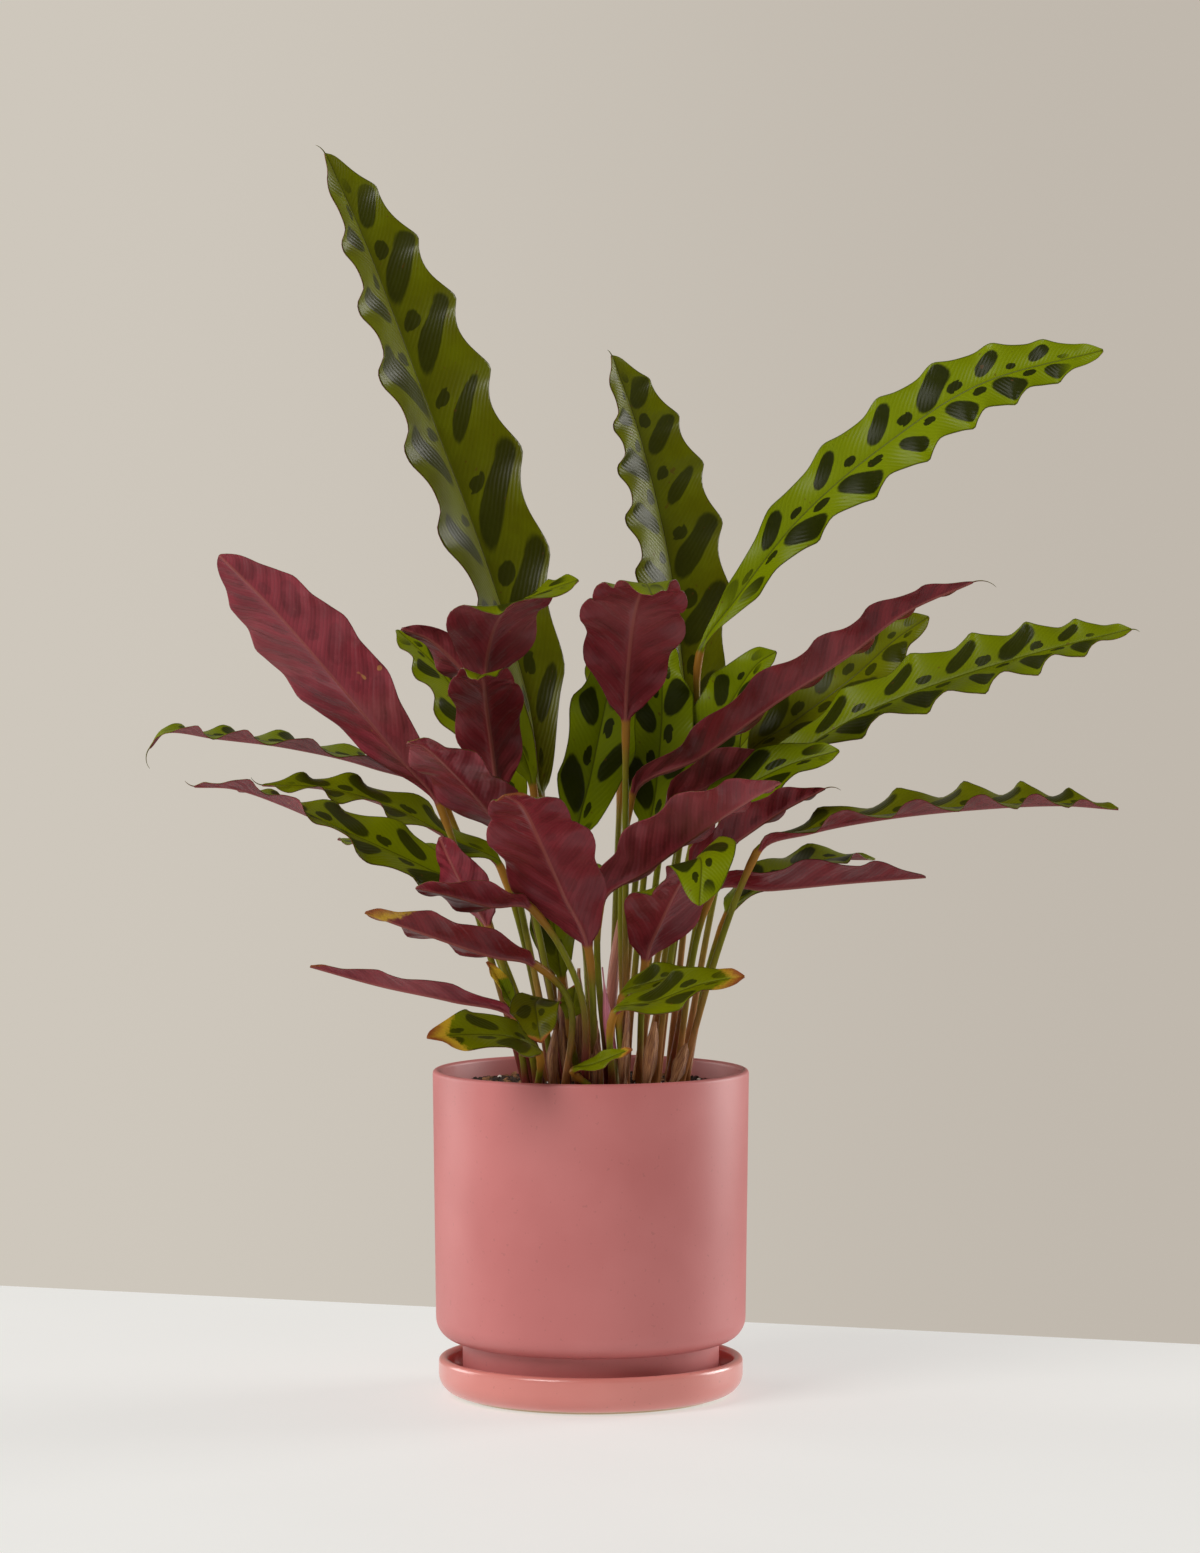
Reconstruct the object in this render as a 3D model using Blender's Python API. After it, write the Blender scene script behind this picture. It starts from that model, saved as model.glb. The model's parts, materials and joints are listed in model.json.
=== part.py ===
"""A rattlesnake plant in its ceramic pot, which stands on its own saucer.

Every leaf is one closed solid with its stem: a round stem that rises from a
plain hole in the soil, thickens just below the blade, and spreads into a thin
blade with waved edges. Units are metres, +Z is up, and the origin is the
centre of the saucer's flat underside.
"""

import math
from collections import namedtuple

import bmesh
import bpy
import numpy as np

MM = 0.001

# Pot and saucer
POT_RADIUS = 0.0825
POT_BASE_RADIUS = 0.0809
POT_TOP = 0.1705
POT_UNDERSIDE = 0.029
POT_CORNER = 0.012
POT_WALL = 0.0038
FOOT_RADIUS = 0.067
FOOT_CORNER = 0.002
DRAIN_RADIUS = 0.006
SAUCER_RADIUS = 0.0795
SAUCER_TOP = 0.0205
SAUCER_FLOOR = 0.0045
SAUCER_WALL = 0.005
SAUCER_BASE_RADIUS = 0.0675
SAUCER_FOOT_HEIGHT = 0.0012
ROUND_SIDES = 40

# Soil
SOIL_TOP = 0.1595
SOIL_CROWN = 0.003
SOIL_RELIEF = 0.0009
HOLE_DEPTH = 0.012
HOLE_SIDES = 6
GAP = 0.0003

# Leaves
STEM_RADIUS = 0.0017
KNEE_RADIUS = 0.0022
KNEE_LENGTH = 0.016
BLADE_THICKNESS = 0.0009
ROWS_PER_WAVE = 4
STEM_STEP = 0.036
SPAN_STEPS = 16
EDGE_SCALLOP = 0.08
WAVE_CROWD = 0.3
WAVE_LEAN = 0.35
USUAL_RIPPLE = 3.0
USUAL_WAVE = 34
BLADE_ARCH = 0.10
TIP_HALF_WIDTH = 0.0007
LEFT_PHASE = 2 * math.pi / 3
OUTLINE_POWER = 0.66

# A leaf's places are in millimetres: where its stem leaves the soil, the
# stem's way to the blade, and the midrib from the blade's base to its tip.
# face is the way the upper side looks at the base, and tip_face at the tip.
# fold is how far each half rises from the midrib, in degrees, ripple the height
# of the waves along its edges, belly the share of the blade's length at which it
# is widest, and wave the usual length of one of its waves.
Leaf = namedtuple("Leaf", "name root way midrib half face tip_face fold ripple belly wave")

GREEN_FRONT = (0, -1, 0.15)


def leaf(name, root, midrib, half, face, tip_face=None, fold=16, ripple=USUAL_RIPPLE, belly=0.48,
         wave=USUAL_WAVE, way=()):
    """One entry of the plant, with the usual fold, ripple, belly and wave filled in."""
    return Leaf(name, root, way, midrib, half, face, tip_face or face, fold, ripple, belly, wave)


LEAVES = [
    # Tall leaves at the back of the crown
    leaf("tall_left", (-8, 6),
         [(-26, 15, 310), (-33, 22, 362), (-54, 28, 431), (-83, 22, 509), (-116, 5, 597), (-137, -12, 645)],
         41.5, (0.786, -0.618, 0.1), fold=24, ripple=3.4, belly=0.54, wave=44),
    leaf("tall_centre", (24, 8),
         [(52, 28, 328), (49, 32, 373), (41, 34, 436), (26, 25, 499), (11, 10, 542)],
         32, (0.66, -0.75, 0.1), fold=24, ripple=3.0, belly=0.52),
    leaf("tall_right", (41, 9),
         [(57, 22, 386), (76, 20, 415), (109, 12, 457), (150, 0, 493), (201, -15, 526), (263, -30, 543)],
         21, (-0.3, -1, 0.4), ripple=3.4, belly=0.6, way=[(57, 18, 330)]),
    # Left side, upper
    leaf("great_left", (-34, -14),
         [(-78, -14, 308), (-98, -28, 334), (-128, -48, 372), (-160, -66, 410), (-187, -78, 438)],
         31, (0.5, 0.8, 0.5), fold=10, ripple=1.4, belly=0.6),
    leaf("curl_left", (-16, 0),
         [(-30, 5, 317), (-45, -5, 355), (-64, -8, 376), (-83, -12, 394), (-98, -16, 400)],
         14, (-0.3, -1, 0.3), (-0.6, 0.4, 0.8), fold=30, ripple=2.0),
    leaf("arch_left", (-12, -19),
         [(-53, -34, 369), (-52, -50, 391), (-44, -76, 409), (-26, -100, 418), (-6, -108, 425)],
         24, (-0.1, 0.8, 0.5), (-0.1, -0.5, 0.85), fold=10, ripple=3.4),
    leaf("arch_centre", (18, -40),
         [(18, -48, 352), (19, -66, 380), (22, -105, 409), (27, -150, 423), (30, -172, 418)],
         25, (0.1, 0.8, 0.7), (0, 0, 1), fold=8, ripple=3.0),
    leaf("upright_left", (-18, -27),
         [(-47, -36, 312), (-50, -46, 336), (-53, -66, 362), (-54, -100, 377), (-56, -122, 376)],
         18, (0, 0.9, 0.5), (0, 0, 1)),
    leaf("fore_mid_left", (-12, -36),
         [(-37, -46, 287), (-53, -66, 310), (-70, -92, 330), (-83, -114, 343), (-90, -124, 345)],
         21, (0.3, 0.7, 0.7), fold=10),
    leaf("fore_left", (2, -47),
         [(-1, -66, 238), (-13, -84, 266), (-24, -114, 293), (-33, -148, 314), (-41, -174, 321)],
         25, (0.1, 0.8, 0.7), fold=8),
    # Left side, level and low
    leaf("level_left_high", (-30, -4),
         [(-79, 26, 311), (-116, 22, 328), (-158, 16, 338), (-197, 12, 343), (-222, 8, 346), (-230, 6, 338)],
         18, (0, -0.04, 1), fold=18, ripple=3.4),
    leaf("wavy_left", (-20, -10),
         [(-47, 6, 275), (-71, 6, 289), (-104, 1, 307), (-138, -7, 317), (-170, -12, 319)],
         17, (0.1, -0.35, 0.93), ripple=3.6),
    leaf("level_left_low", (-26, -21),
         [(-63, -26, 264), (-85, -32, 277), (-121, -40, 294), (-156, -46, 310), (-182, -50, 319), (-202, -52, 320)],
         22, (0.2, -0.75, 0.7), (0, 0.2, 1), ripple=2.8),
    leaf("pink_left", (-26, -32),
         [(-52, -42, 247), (-62, -50, 264), (-71, -52, 281), (-77, -49, 294)],
         15, (0.5, 0.7, 0.3), fold=10, ripple=2.0),
    leaf("short_left", (-3, -56),
         [(-30, -84, 260), (-50, -98, 262), (-70, -108, 268), (-87, -114, 272)],
         15, (0, 0.5, 0.85), fold=18, ripple=2.2, way=[(-5, -66, 215)]),
    leaf("low_left", (-13, -52),
         [(-28, -80, 231), (-50, -98, 237), (-80, -112, 248), (-112, -120, 260)],
         16, (0.1, 0.5, 0.85), fold=26, ripple=2.4, way=[(-10, -61, 208)]),
    leaf("thin_left", (-27, -50),
         [(-38, -66, 203), (-71, -78, 213), (-106, -86, 221), (-141, -92, 231)],
         11, (0.1, 0.35, 0.9), fold=28, ripple=1.6),
    leaf("yellow_tip_left", (-27, -59),
         [(-26, -72, 185), (-40, -92, 195), (-60, -110, 198), (-81, -124, 198)],
         16, (0.2, -0.6, 0.8), ripple=2.4),
    leaf("round_left", (-19, -43),
         [(-25, -54, 209), (-28, -68, 210), (-27, -80, 203), (-25, -86, 192)],
         13, (0, -0.5, 0.85), (0, -1, 0), ripple=1.4),
    leaf("lobe_left", (-6, -42),
         [(-11, -48, 199), (-9, -50, 209), (-8, -50, 218)],
         7, GREEN_FRONT, ripple=1.0),
    leaf("withered_left", (-33, -38),
         [(-40, -40, 204), (-46, -46, 218), (-53, -50, 230)],
         5, (0.4, -0.8, 0.4), fold=40, ripple=0.8),
    # Centre
    leaf("inner_left", (5, -11),
         [(-7, -8, 289), (0, -12, 324), (8, -16, 363), (16, -22, 402)],
         19, (0.3, -1, 0.1), ripple=3.0),
    leaf("inner_centre", (18, -4),
         [(30, 6, 292), (34, 6, 316), (37, 6, 352), (38, 6, 378), (43, 8, 391)],
         19, GREEN_FRONT, ripple=2.6),
    leaf("shade_centre", (-5, -8),
         [(-15, -8, 217), (-19, -5, 245), (-25, -2, 284)],
         12, GREEN_FRONT),
    leaf("fore_right", (9, -37),
         [(5, -58, 260), (30, -70, 279), (55, -84, 298), (78, -96, 314), (95, -104, 324)],
         28, (-0.4, 0.5, 0.75), fold=30, ripple=2.6),
    leaf("baby_centre", (1, -62),
         [(-9, -66, 175), (3, -72, 180), (21, -80, 188)],
         6, (0, -0.6, 0.8), ripple=1.0),
    # Right side, upper
    leaf("inner_right", (31, -2),
         [(50, 8, 310), (58, 8, 335), (74, 2, 363), (86, -6, 381), (96, -12, 388)],
         17, (-0.2, -1, 0.4)),
    leaf("broad_right", (47, 0),
         [(83, 24, 332), (107, 22, 351), (136, 16, 373), (159, 8, 394), (176, 2, 406)],
         22, (-0.3, -0.9, 0.5), ripple=3.0),
    leaf("lance_right", (17, -30),
         [(21, -34, 314), (56, -44, 335), (94, -58, 363), (129, -70, 386), (159, -78, 409), (192, -82, 424)],
         19, (-0.4, 0.5, 0.8), fold=32, ripple=3.0),
    leaf("long_right", (41, -11),
         [(72, 2, 309), (104, -6, 333), (139, -16, 355), (180, -26, 372), (230, -38, 388), (276, -48, 400)],
         22, (-0.15, -0.6, 0.8), fold=20, ripple=3.8, belly=0.58),
    leaf("twist_right", (34, -19),
         [(57, -24, 308), (77, -34, 318), (103, -44, 331), (127, -50, 338)],
         16, (-0.2, -0.7, 0.7), ripple=2.4),
    leaf("under_right", (26, -12),
         [(40, -6, 306), (60, -12, 318), (78, -18, 329), (92, -22, 335)],
         16, (0, 0.8, 0.6), ripple=2.2),
    # Right side, level and low
    leaf("small_right", (33, -27),
         [(51, -30, 275), (74, -40, 291), (97, -50, 307), (119, -58, 319)],
         17, (-0.4, 0.5, 0.75), fold=30, ripple=2.2),
    leaf("level_right", (46, -31),
         [(85, -46, 286), (112, -54, 297), (152, -64, 305), (197, -74, 310), (237, -82, 312), (266, -86, 310)],
         22, (0, -0.15, 0.98), fold=24, ripple=4.2),
    leaf("low_right", (44, -21),
         [(63, -18, 264), (93, -26, 266), (133, -34, 270), (172, -40, 273)],
         20, (0, 0.3, 0.95), fold=26, ripple=2.6),
    leaf("hang_right", (25, -34),
         [(28, -40, 229), (36, -56, 252), (47, -84, 276), (55, -112, 286), (54, -128, 264)],
         25, (-0.2, 0.7, 0.7), (0, -1, 0.4), fold=8, ripple=2.2),
    leaf("scorched_right", (11, -56),
         [(12, -76, 206), (33, -88, 213), (55, -98, 222), (77, -106, 227)],
         14, (0, -0.6, 0.8), ripple=2.4),
    leaf("shade_right", (17, -49),
         [(16, -54, 212), (35, -58, 221), (54, -60, 225)],
         11, (0, -0.6, 0.8), ripple=1.8),
    # Behind the crown
    leaf("back_left_high", (-12, 14),
         [(-40, 60, 300), (-58, 82, 340), (-82, 104, 376), (-106, 122, 398)],
         22, (0.3, -0.5, 0.8)),
    leaf("back_high", (10, 18),
         [(16, 70, 318), (20, 92, 358), (22, 118, 394), (20, 146, 414)],
         23, (0, -0.6, 0.8)),
    leaf("back_upright", (15, 27),
         [(30, 66, 330), (36, 80, 372), (41, 90, 412), (44, 94, 440)],
         18, (0, -1, 0.3)),
    leaf("back_right_high", (28, 17),
         [(62, 62, 306), (84, 82, 340), (110, 102, 366), (138, 120, 382)],
         22, (-0.3, -0.5, 0.8)),
    leaf("back_left_low", (-24, 8),
         [(-60, 58, 250), (-86, 82, 268), (-112, 104, 280), (-138, 122, 284)],
         20, (0.1, -0.2, 1), fold=18),
    leaf("back_low", (0, 22),
         [(-4, 74, 240), (-10, 104, 258), (-18, 134, 266), (-26, 160, 262)],
         20, (0, -0.2, 1), fold=18),
    leaf("back_right_low", (50, 12),
         [(72, 54, 246), (98, 74, 264), (126, 94, 274), (154, 110, 274)],
         20, (-0.1, -0.2, 1), fold=18),
]

Roll = namedtuple("Roll", "name root way tip radius colour")

# Young leaves that are still rolled up
ROLLS = [
    Roll("rolled_centre", (8, -22), [(13, -24, 234)], (18, -26, 271), 3.0, (0.46, 0.20, 0.17)),
    Roll("spear_centre", (13, -46), [(9, -55, 200)], (6, -59, 228), 2.6, (0.52, 0.16, 0.25)),
]

# Dry sheaths round the feet of old stems
SHEATHS = [
    leaf("papery_left", (-19, -52), [(-19, -55, 166), (-20, -57, 180), (-18, -59, 196)],
         3.5, (0.2, 0.9, 0.2), fold=42, ripple=0.3),
    leaf("papery_right", (27, -46), [(28, -54, 166), (31, -56, 180), (33, -57, 200)],
         4.5, (-0.2, 0.9, 0.2), fold=42, ripple=0.3),
    leaf("stub_right", (38, -40), [(41, -46, 166), (46, -48, 176), (49, -49, 188)],
         4.5, (-0.2, 0.9, 0.2), fold=38, ripple=0.6),
]

POT_PINK = (0.533, 0.165, 0.158)
LEAF_GREEN = (0.090, 0.200, 0.018)
SHEATH_TAN = (0.40, 0.24, 0.13)
SOIL_BROWN = (0.030, 0.017, 0.012)


def clear_scene():
    for item in list(bpy.data.objects):
        bpy.data.objects.remove(item, do_unlink=True)


def finish_material(name, colour, roughness):
    """A plain finish: colour, roughness and no metal."""
    material = bpy.data.materials.new(name)
    material.use_nodes = True
    shader = material.node_tree.nodes["Principled BSDF"]
    shader.inputs["Base Color"].default_value = (*colour, 1.0)
    shader.inputs["Roughness"].default_value = roughness
    shader.inputs["Metallic"].default_value = 0.0
    return material


def add_solid(name, points, faces, colour, roughness, parent=None):
    """A named object from points and faces, with its faces turned outwards."""
    mesh = bpy.data.meshes.new(name)
    work = bmesh.new()
    corners = [work.verts.new(point) for point in points]
    for face in faces:
        work.faces.new([corners[index] for index in face])
    bmesh.ops.recalc_face_normals(work, faces=work.faces)
    work.to_mesh(mesh)
    work.free()
    item = bpy.data.objects.new(name, mesh)
    bpy.context.scene.collection.objects.link(item)
    mesh.materials.append(finish_material(name + "_finish", colour, roughness))
    mesh.shade_smooth()
    mesh.set_sharp_from_angle(angle=math.radians(50))
    item.parent = parent
    return item


def arc(centre_r, centre_z, radius, start, end, steps):
    """Points of a round stretch of a profile, angles in degrees from +R."""
    angles = np.radians(np.linspace(start, end, steps + 1))
    return [(centre_r + radius * math.cos(a), centre_z + radius * math.sin(a)) for a in angles]


def turned(profile, closed):
    """A profile of (radius, height) turned round Z: a ring if it is closed."""
    points = []
    rings = []
    for radius, height in profile:
        if radius < 1e-9:
            rings.append([len(points)] * ROUND_SIDES)
            points.append((0.0, 0.0, height))
            continue
        rings.append(list(range(len(points), len(points) + ROUND_SIDES)))
        for side in range(ROUND_SIDES):
            angle = 2 * math.pi * side / ROUND_SIDES
            points.append((radius * math.cos(angle), radius * math.sin(angle), height))
    pairs = list(zip(rings, rings[1:]))
    if closed:
        pairs.append((rings[-1], rings[0]))
    faces = []
    for low, high in pairs:
        for side in range(ROUND_SIDES):
            after = (side + 1) % ROUND_SIDES
            loop = [low[side], low[after], high[after], high[side]]
            corners = list(dict.fromkeys(loop))
            if len(corners) > 2:
                faces.append(corners)
    return points, faces


def pot_inner_radius(height):
    """Radius of the pot's inside at a height, above its stepped foot."""
    share = (height - POT_UNDERSIDE) / (POT_TOP - POT_UNDERSIDE)
    return POT_BASE_RADIUS + (POT_RADIUS - POT_BASE_RADIUS) * share - POT_WALL


def foot_inside():
    """Inner corner points of the pot's foot: floor and ledge."""
    radius = FOOT_RADIUS - POT_WALL
    floor = SAUCER_FLOOR + GAP + POT_WALL
    ledge = POT_UNDERSIDE + POT_WALL
    return radius, floor, ledge


def build_pot(parent):
    radius, floor, ledge = foot_inside()
    foot_bottom = SAUCER_FLOOR + GAP
    rim = POT_WALL / 2
    profile = arc(POT_RADIUS - rim, POT_TOP - rim, rim, 180, 0, 3)
    profile += arc(POT_BASE_RADIUS - POT_CORNER, POT_UNDERSIDE + POT_CORNER, POT_CORNER, 0, -90, 4)
    profile += [(FOOT_RADIUS, POT_UNDERSIDE)]
    profile += arc(FOOT_RADIUS - FOOT_CORNER, foot_bottom + FOOT_CORNER, FOOT_CORNER, 0, -90, 1)
    profile += [(DRAIN_RADIUS, foot_bottom), (DRAIN_RADIUS, floor), (radius, floor), (radius, ledge)]
    profile += [(pot_inner_radius(ledge) - POT_CORNER / 2, ledge)]
    profile += [(pot_inner_radius(ledge), ledge + POT_CORNER / 2)]
    points, faces = turned(profile, closed=True)
    return add_solid("pot", points, faces, POT_PINK, 0.55, parent)


def build_saucer(parent):
    rim = SAUCER_WALL / 2
    bowl = SAUCER_RADIUS - SAUCER_BASE_RADIUS - 0.0015
    inner = SAUCER_RADIUS - SAUCER_WALL
    well = 0.006
    profile = [(0, 0), (SAUCER_BASE_RADIUS, 0), (SAUCER_BASE_RADIUS, SAUCER_FOOT_HEIGHT)]
    profile += arc(SAUCER_RADIUS - bowl, SAUCER_FOOT_HEIGHT + bowl, bowl, -90, 0, 4)
    profile += arc(SAUCER_RADIUS - rim, SAUCER_TOP - rim, rim, 0, 180, 3)
    profile += arc(inner - well, SAUCER_FLOOR + well, well, 0, -90, 2)
    profile += [(0, SAUCER_FLOOR)]
    points, faces = turned(profile, closed=False)
    return add_solid("saucer", points, faces, POT_PINK, 0.25, parent)


def soil_height(x, y):
    """Height of the soil: a low crown with small lumps in it."""
    radius = math.hypot(x, y) / POT_RADIUS
    lumps = math.sin(210 * x + 1.3) * math.sin(260 * y + 0.4) + 0.6 * math.sin(330 * x - 290 * y)
    return SOIL_TOP + SOIL_CROWN * (1 - radius ** 2) + SOIL_RELIEF * lumps


def build_soil(parent, stems):
    """Soil that fills the pot, with a plain hole for every stem in stems."""
    radius, floor, ledge = foot_inside()
    edge = pot_inner_radius(SOIL_TOP) - GAP
    corner = POT_CORNER / 2
    profile = [(0, floor + GAP), (radius - GAP, floor + GAP), (radius - GAP, ledge + GAP)]
    profile += [(pot_inner_radius(ledge) - corner - GAP, ledge + GAP)]
    profile += [(pot_inner_radius(ledge) - GAP, ledge + corner + GAP)]
    profile += [(edge * share, SOIL_TOP) for share in (1, 0.8, 0.58, 0.36, 0.16)]
    profile += [(0, SOIL_TOP)]
    points, faces = turned(profile, closed=False)
    points = [(x, y, soil_height(x, y) if z == SOIL_TOP else z) for x, y, z in points]
    soil = add_solid("soil", points, faces, SOIL_BROWN, 0.95, parent)
    holes = bpy.data.collections.new("stem_holes")
    bpy.context.scene.collection.children.link(holes)
    for (x, y), stem_radius in stems:
        cut_hole(holes, x, y, stem_radius)
    cut = soil.modifiers.new("stem holes", "BOOLEAN")
    cut.operation = "DIFFERENCE"
    cut.operand_type = "COLLECTION"
    cut.collection = holes
    cut.solver = "EXACT"
    apply_and_clear(soil, cut, holes)
    return soil


def cut_hole(holes, x, y, stem_radius):
    """A six-sided cutter for one stem, wide enough to leave the gap."""
    work = bmesh.new()
    bottom = SOIL_TOP - HOLE_DEPTH
    top = SOIL_TOP + 4 * SOIL_CROWN
    wide = (stem_radius + GAP) / math.cos(math.pi / HOLE_SIDES)
    bmesh.ops.create_cone(work, cap_ends=True, segments=HOLE_SIDES, radius1=wide, radius2=wide, depth=top - bottom)
    bmesh.ops.translate(work, verts=work.verts, vec=(x, y, (top + bottom) / 2))
    mesh = bpy.data.meshes.new("hole")
    work.to_mesh(mesh)
    work.free()
    cutter = bpy.data.objects.new("hole", mesh)
    cutter.hide_render = True
    cutter.display_type = "WIRE"
    holes.objects.link(cutter)


def apply_and_clear(item, modifier, collection):
    """Bakes a modifier into its object and removes the collection it read."""
    bpy.context.view_layer.update()
    evaluated = item.evaluated_get(bpy.context.evaluated_depsgraph_get())
    mesh = bpy.data.meshes.new_from_object(evaluated)
    item.modifiers.remove(modifier)
    item.data = mesh
    for cutter in list(collection.objects):
        bpy.data.objects.remove(cutter, do_unlink=True)
    bpy.data.collections.remove(collection)


def unit(vector):
    return vector / np.linalg.norm(vector)


def smooth_path(points, per_span=SPAN_STEPS):
    """A smooth curve through the points, with per_span steps between two of them."""
    points = np.asarray(points, dtype=float)
    ends = np.vstack([2 * points[0] - points[1], points, 2 * points[-1] - points[-2]])
    curve = []
    for index in range(1, len(ends) - 2):
        before, start, end, after = ends[index - 1:index + 3]
        span = np.linalg.norm(end - start)
        slope_in = (end - before) / (np.linalg.norm(start - before) + span) * span
        slope_out = (after - start) / (np.linalg.norm(after - end) + span) * span
        for t in np.linspace(0, 1, per_span, endpoint=False):
            curve.append((2 * t ** 3 - 3 * t ** 2 + 1) * start + (t ** 3 - 2 * t ** 2 + t) * slope_in
                         + (3 * t ** 2 - 2 * t ** 3) * end + (t ** 3 - t ** 2) * slope_out)
    curve.append(points[-1])
    return np.array(curve)


def spaced(curve, shares):
    """Points at the given shares of a curve's length, and its directions there."""
    steps = np.linalg.norm(np.diff(curve, axis=0), axis=1)
    length = np.concatenate([[0], np.cumsum(steps)])
    slopes = np.gradient(curve, length, axis=0)
    at = np.asarray(shares) * length[-1]
    places = np.stack([np.interp(at, length, curve[:, axis]) for axis in range(3)], axis=1)
    ways = np.stack([np.interp(at, length, slopes[:, axis]) for axis in range(3)], axis=1)
    return places, [unit(way) for way in ways]


def smoothstep(value):
    value = min(max(value, 0.0), 1.0)
    return value * value * (3 - 2 * value)


def stem_and_blade(entry):
    """The two stretches of a leaf's path, in metres: stem, then midrib."""
    foot = np.array([*entry.root, 0]) * MM
    low = foot + (0, 0, SOIL_TOP - HOLE_DEPTH + GAP)
    out = foot + (0, 0, SOIL_TOP + 2 * SOIL_CROWN)
    rest = np.array([*entry.way, *entry.midrib]) * MM
    curve = smooth_path([low, out, *rest])
    first = SPAN_STEPS * (len(entry.way) + 2)
    return low, out, curve[SPAN_STEPS:first + 1], curve[first:]


def leaf_frames(entry, blade_shares):
    """Place, side and normal of each ring, from the soil to the tip."""
    low, out, stem, blade = stem_and_blade(entry)
    places, ways = spaced(blade, blade_shares)
    frames = []
    for share, place, way in zip(blade_shares, places, ways):
        blend = smoothstep(share)
        looks = unit(np.array(entry.face, float)) * (1 - blend) + unit(np.array(entry.tip_face, float)) * blend
        normal = unit(looks - way * looks.dot(way))
        frames.append((place, np.cross(way, normal), normal))
    side = frames[0][1]
    stem_length = np.linalg.norm(np.diff(stem, axis=0), axis=1).sum()
    steps = max(2, round(stem_length / STEM_STEP))
    stem_places, stem_ways = spaced(stem, np.linspace(0, 1, steps + 1))
    stem_frames = []
    for share, place, way in reversed(list(zip(np.linspace(0, 1, steps + 1), stem_places, stem_ways))):
        side = unit(side - way * side.dot(way))
        stem_frames.append((share, place, side, np.cross(side, way)))
    stem_frames = [frame for frame in reversed(stem_frames) if frame[0] < 1]
    upright = np.array([0, 0, 1.0])
    foot_side = unit(stem_frames[0][2] - upright * stem_frames[0][2].dot(upright))
    foot_normal = np.cross(foot_side, upright)
    stem_frames[0] = (0, out, foot_side, foot_normal)
    stem_frames.insert(0, (0, low, foot_side, foot_normal))
    knee = 1 - min(0.5, KNEE_LENGTH / stem_length)
    return stem_frames, knee, frames


def circle_ring(place, side, normal, radius, across):
    """A round section with the same number of corners as the blade's section."""
    ring = []
    for turn in (1, -1):
        order = range(across + 1) if turn == 1 else range(across, -1, -1)
        for column in order:
            angle = turn * math.pi * (1 - (column + 0.5) / (across + 1))
            ring.append(place + radius * (math.cos(angle) * side + math.sin(angle) * normal))
    return np.array(ring)


def wave_count(blade, wave):
    """How many waves run along the edge of a blade with this midrib and wave length."""
    return max(2, round(np.linalg.norm(np.diff(blade, axis=0), axis=1).sum() / (wave * MM)))


def waves_passed(share, waves):
    """Waves passed from the base at a share of the length: they crowd to the tip."""
    return waves * share * (1 - WAVE_CROWD + WAVE_CROWD * share ** 2)


def wave_angle(share, waves, phase):
    """Where on its wave the edge is, in radians: each wave leans to the tip."""
    angle = 2 * math.pi * waves_passed(share, waves) + phase
    return angle + WAVE_LEAN * math.sin(angle)


def row_shares(waves, rows_per_wave):
    """Shares of the blade's length that lie evenly on its waves."""
    fine = np.linspace(0, 1, 400)
    return np.interp(np.linspace(0, waves, rows_per_wave * waves + 1), waves_passed(fine, waves), fine)


def half_width(entry, share, angle):
    """Half the blade's width at a share of its length, where its wave is at angle."""
    rounding = math.log(0.5) / math.log(entry.belly)
    outline = max(math.sin(math.pi * share ** rounding), 0) ** OUTLINE_POWER
    scallop = EDGE_SCALLOP * entry.ripple / USUAL_RIPPLE * math.cos(angle)
    return max(entry.half * MM * outline * (1 + scallop), TIP_HALF_WIDTH)


def blade_ring(entry, share, waves, frame, across):
    """The thin section of a blade: the upper side left to right, then the lower."""
    place, side, normal = frame
    fold = math.radians(entry.fold)
    upper = []
    lower = []
    for column in range(across + 1):
        v = 2 * column / across - 1
        turn = 1 if v > 0 else -1
        angle = wave_angle(share, waves, 0 if v > 0 else LEFT_PHASE)
        width = half_width(entry, share, angle)
        calm = min(1, 1.3 * width / (entry.half * MM))
        wave = entry.ripple * MM * calm * v * v * math.sin(angle)
        rise = wave - BLADE_ARCH * width * v * v
        lean = fold if v else 0
        along = math.cos(lean) * side * turn + math.sin(lean) * normal
        up = math.cos(lean) * normal - math.sin(lean) * side * turn
        point = place + along * abs(v) * width + up * rise
        upper.append(point + up * BLADE_THICKNESS / 2)
        lower.append(point - up * BLADE_THICKNESS / 2)
    return np.array(upper + lower[::-1])


def loft(rings):
    """A closed solid through rings of equal size, in triangles alike on both faces."""
    size = len(rings[0])
    across = size // 2 - 1
    points = np.concatenate(rings)
    faces = []
    for row in range(len(rings) - 1):
        a, b = row * size, (row + 1) * size
        for column in range(size):
            after = (column + 1) % size
            if column <= across:
                faces += [(a + column, a + after, b + after), (a + column, b + after, b + column)]
            else:
                faces += [(a + column, a + after, b + column), (a + after, b + after, b + column)]
    last = (len(rings) - 1) * size
    for base, turn in ((0, -1), (last, 1)):
        for column in range(across):
            other = size - 1 - column
            corners = [base + column, base + column + 1, base + other - 1, base + other]
            faces.append(tuple(corners[::turn]))
    return points, faces


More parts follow.
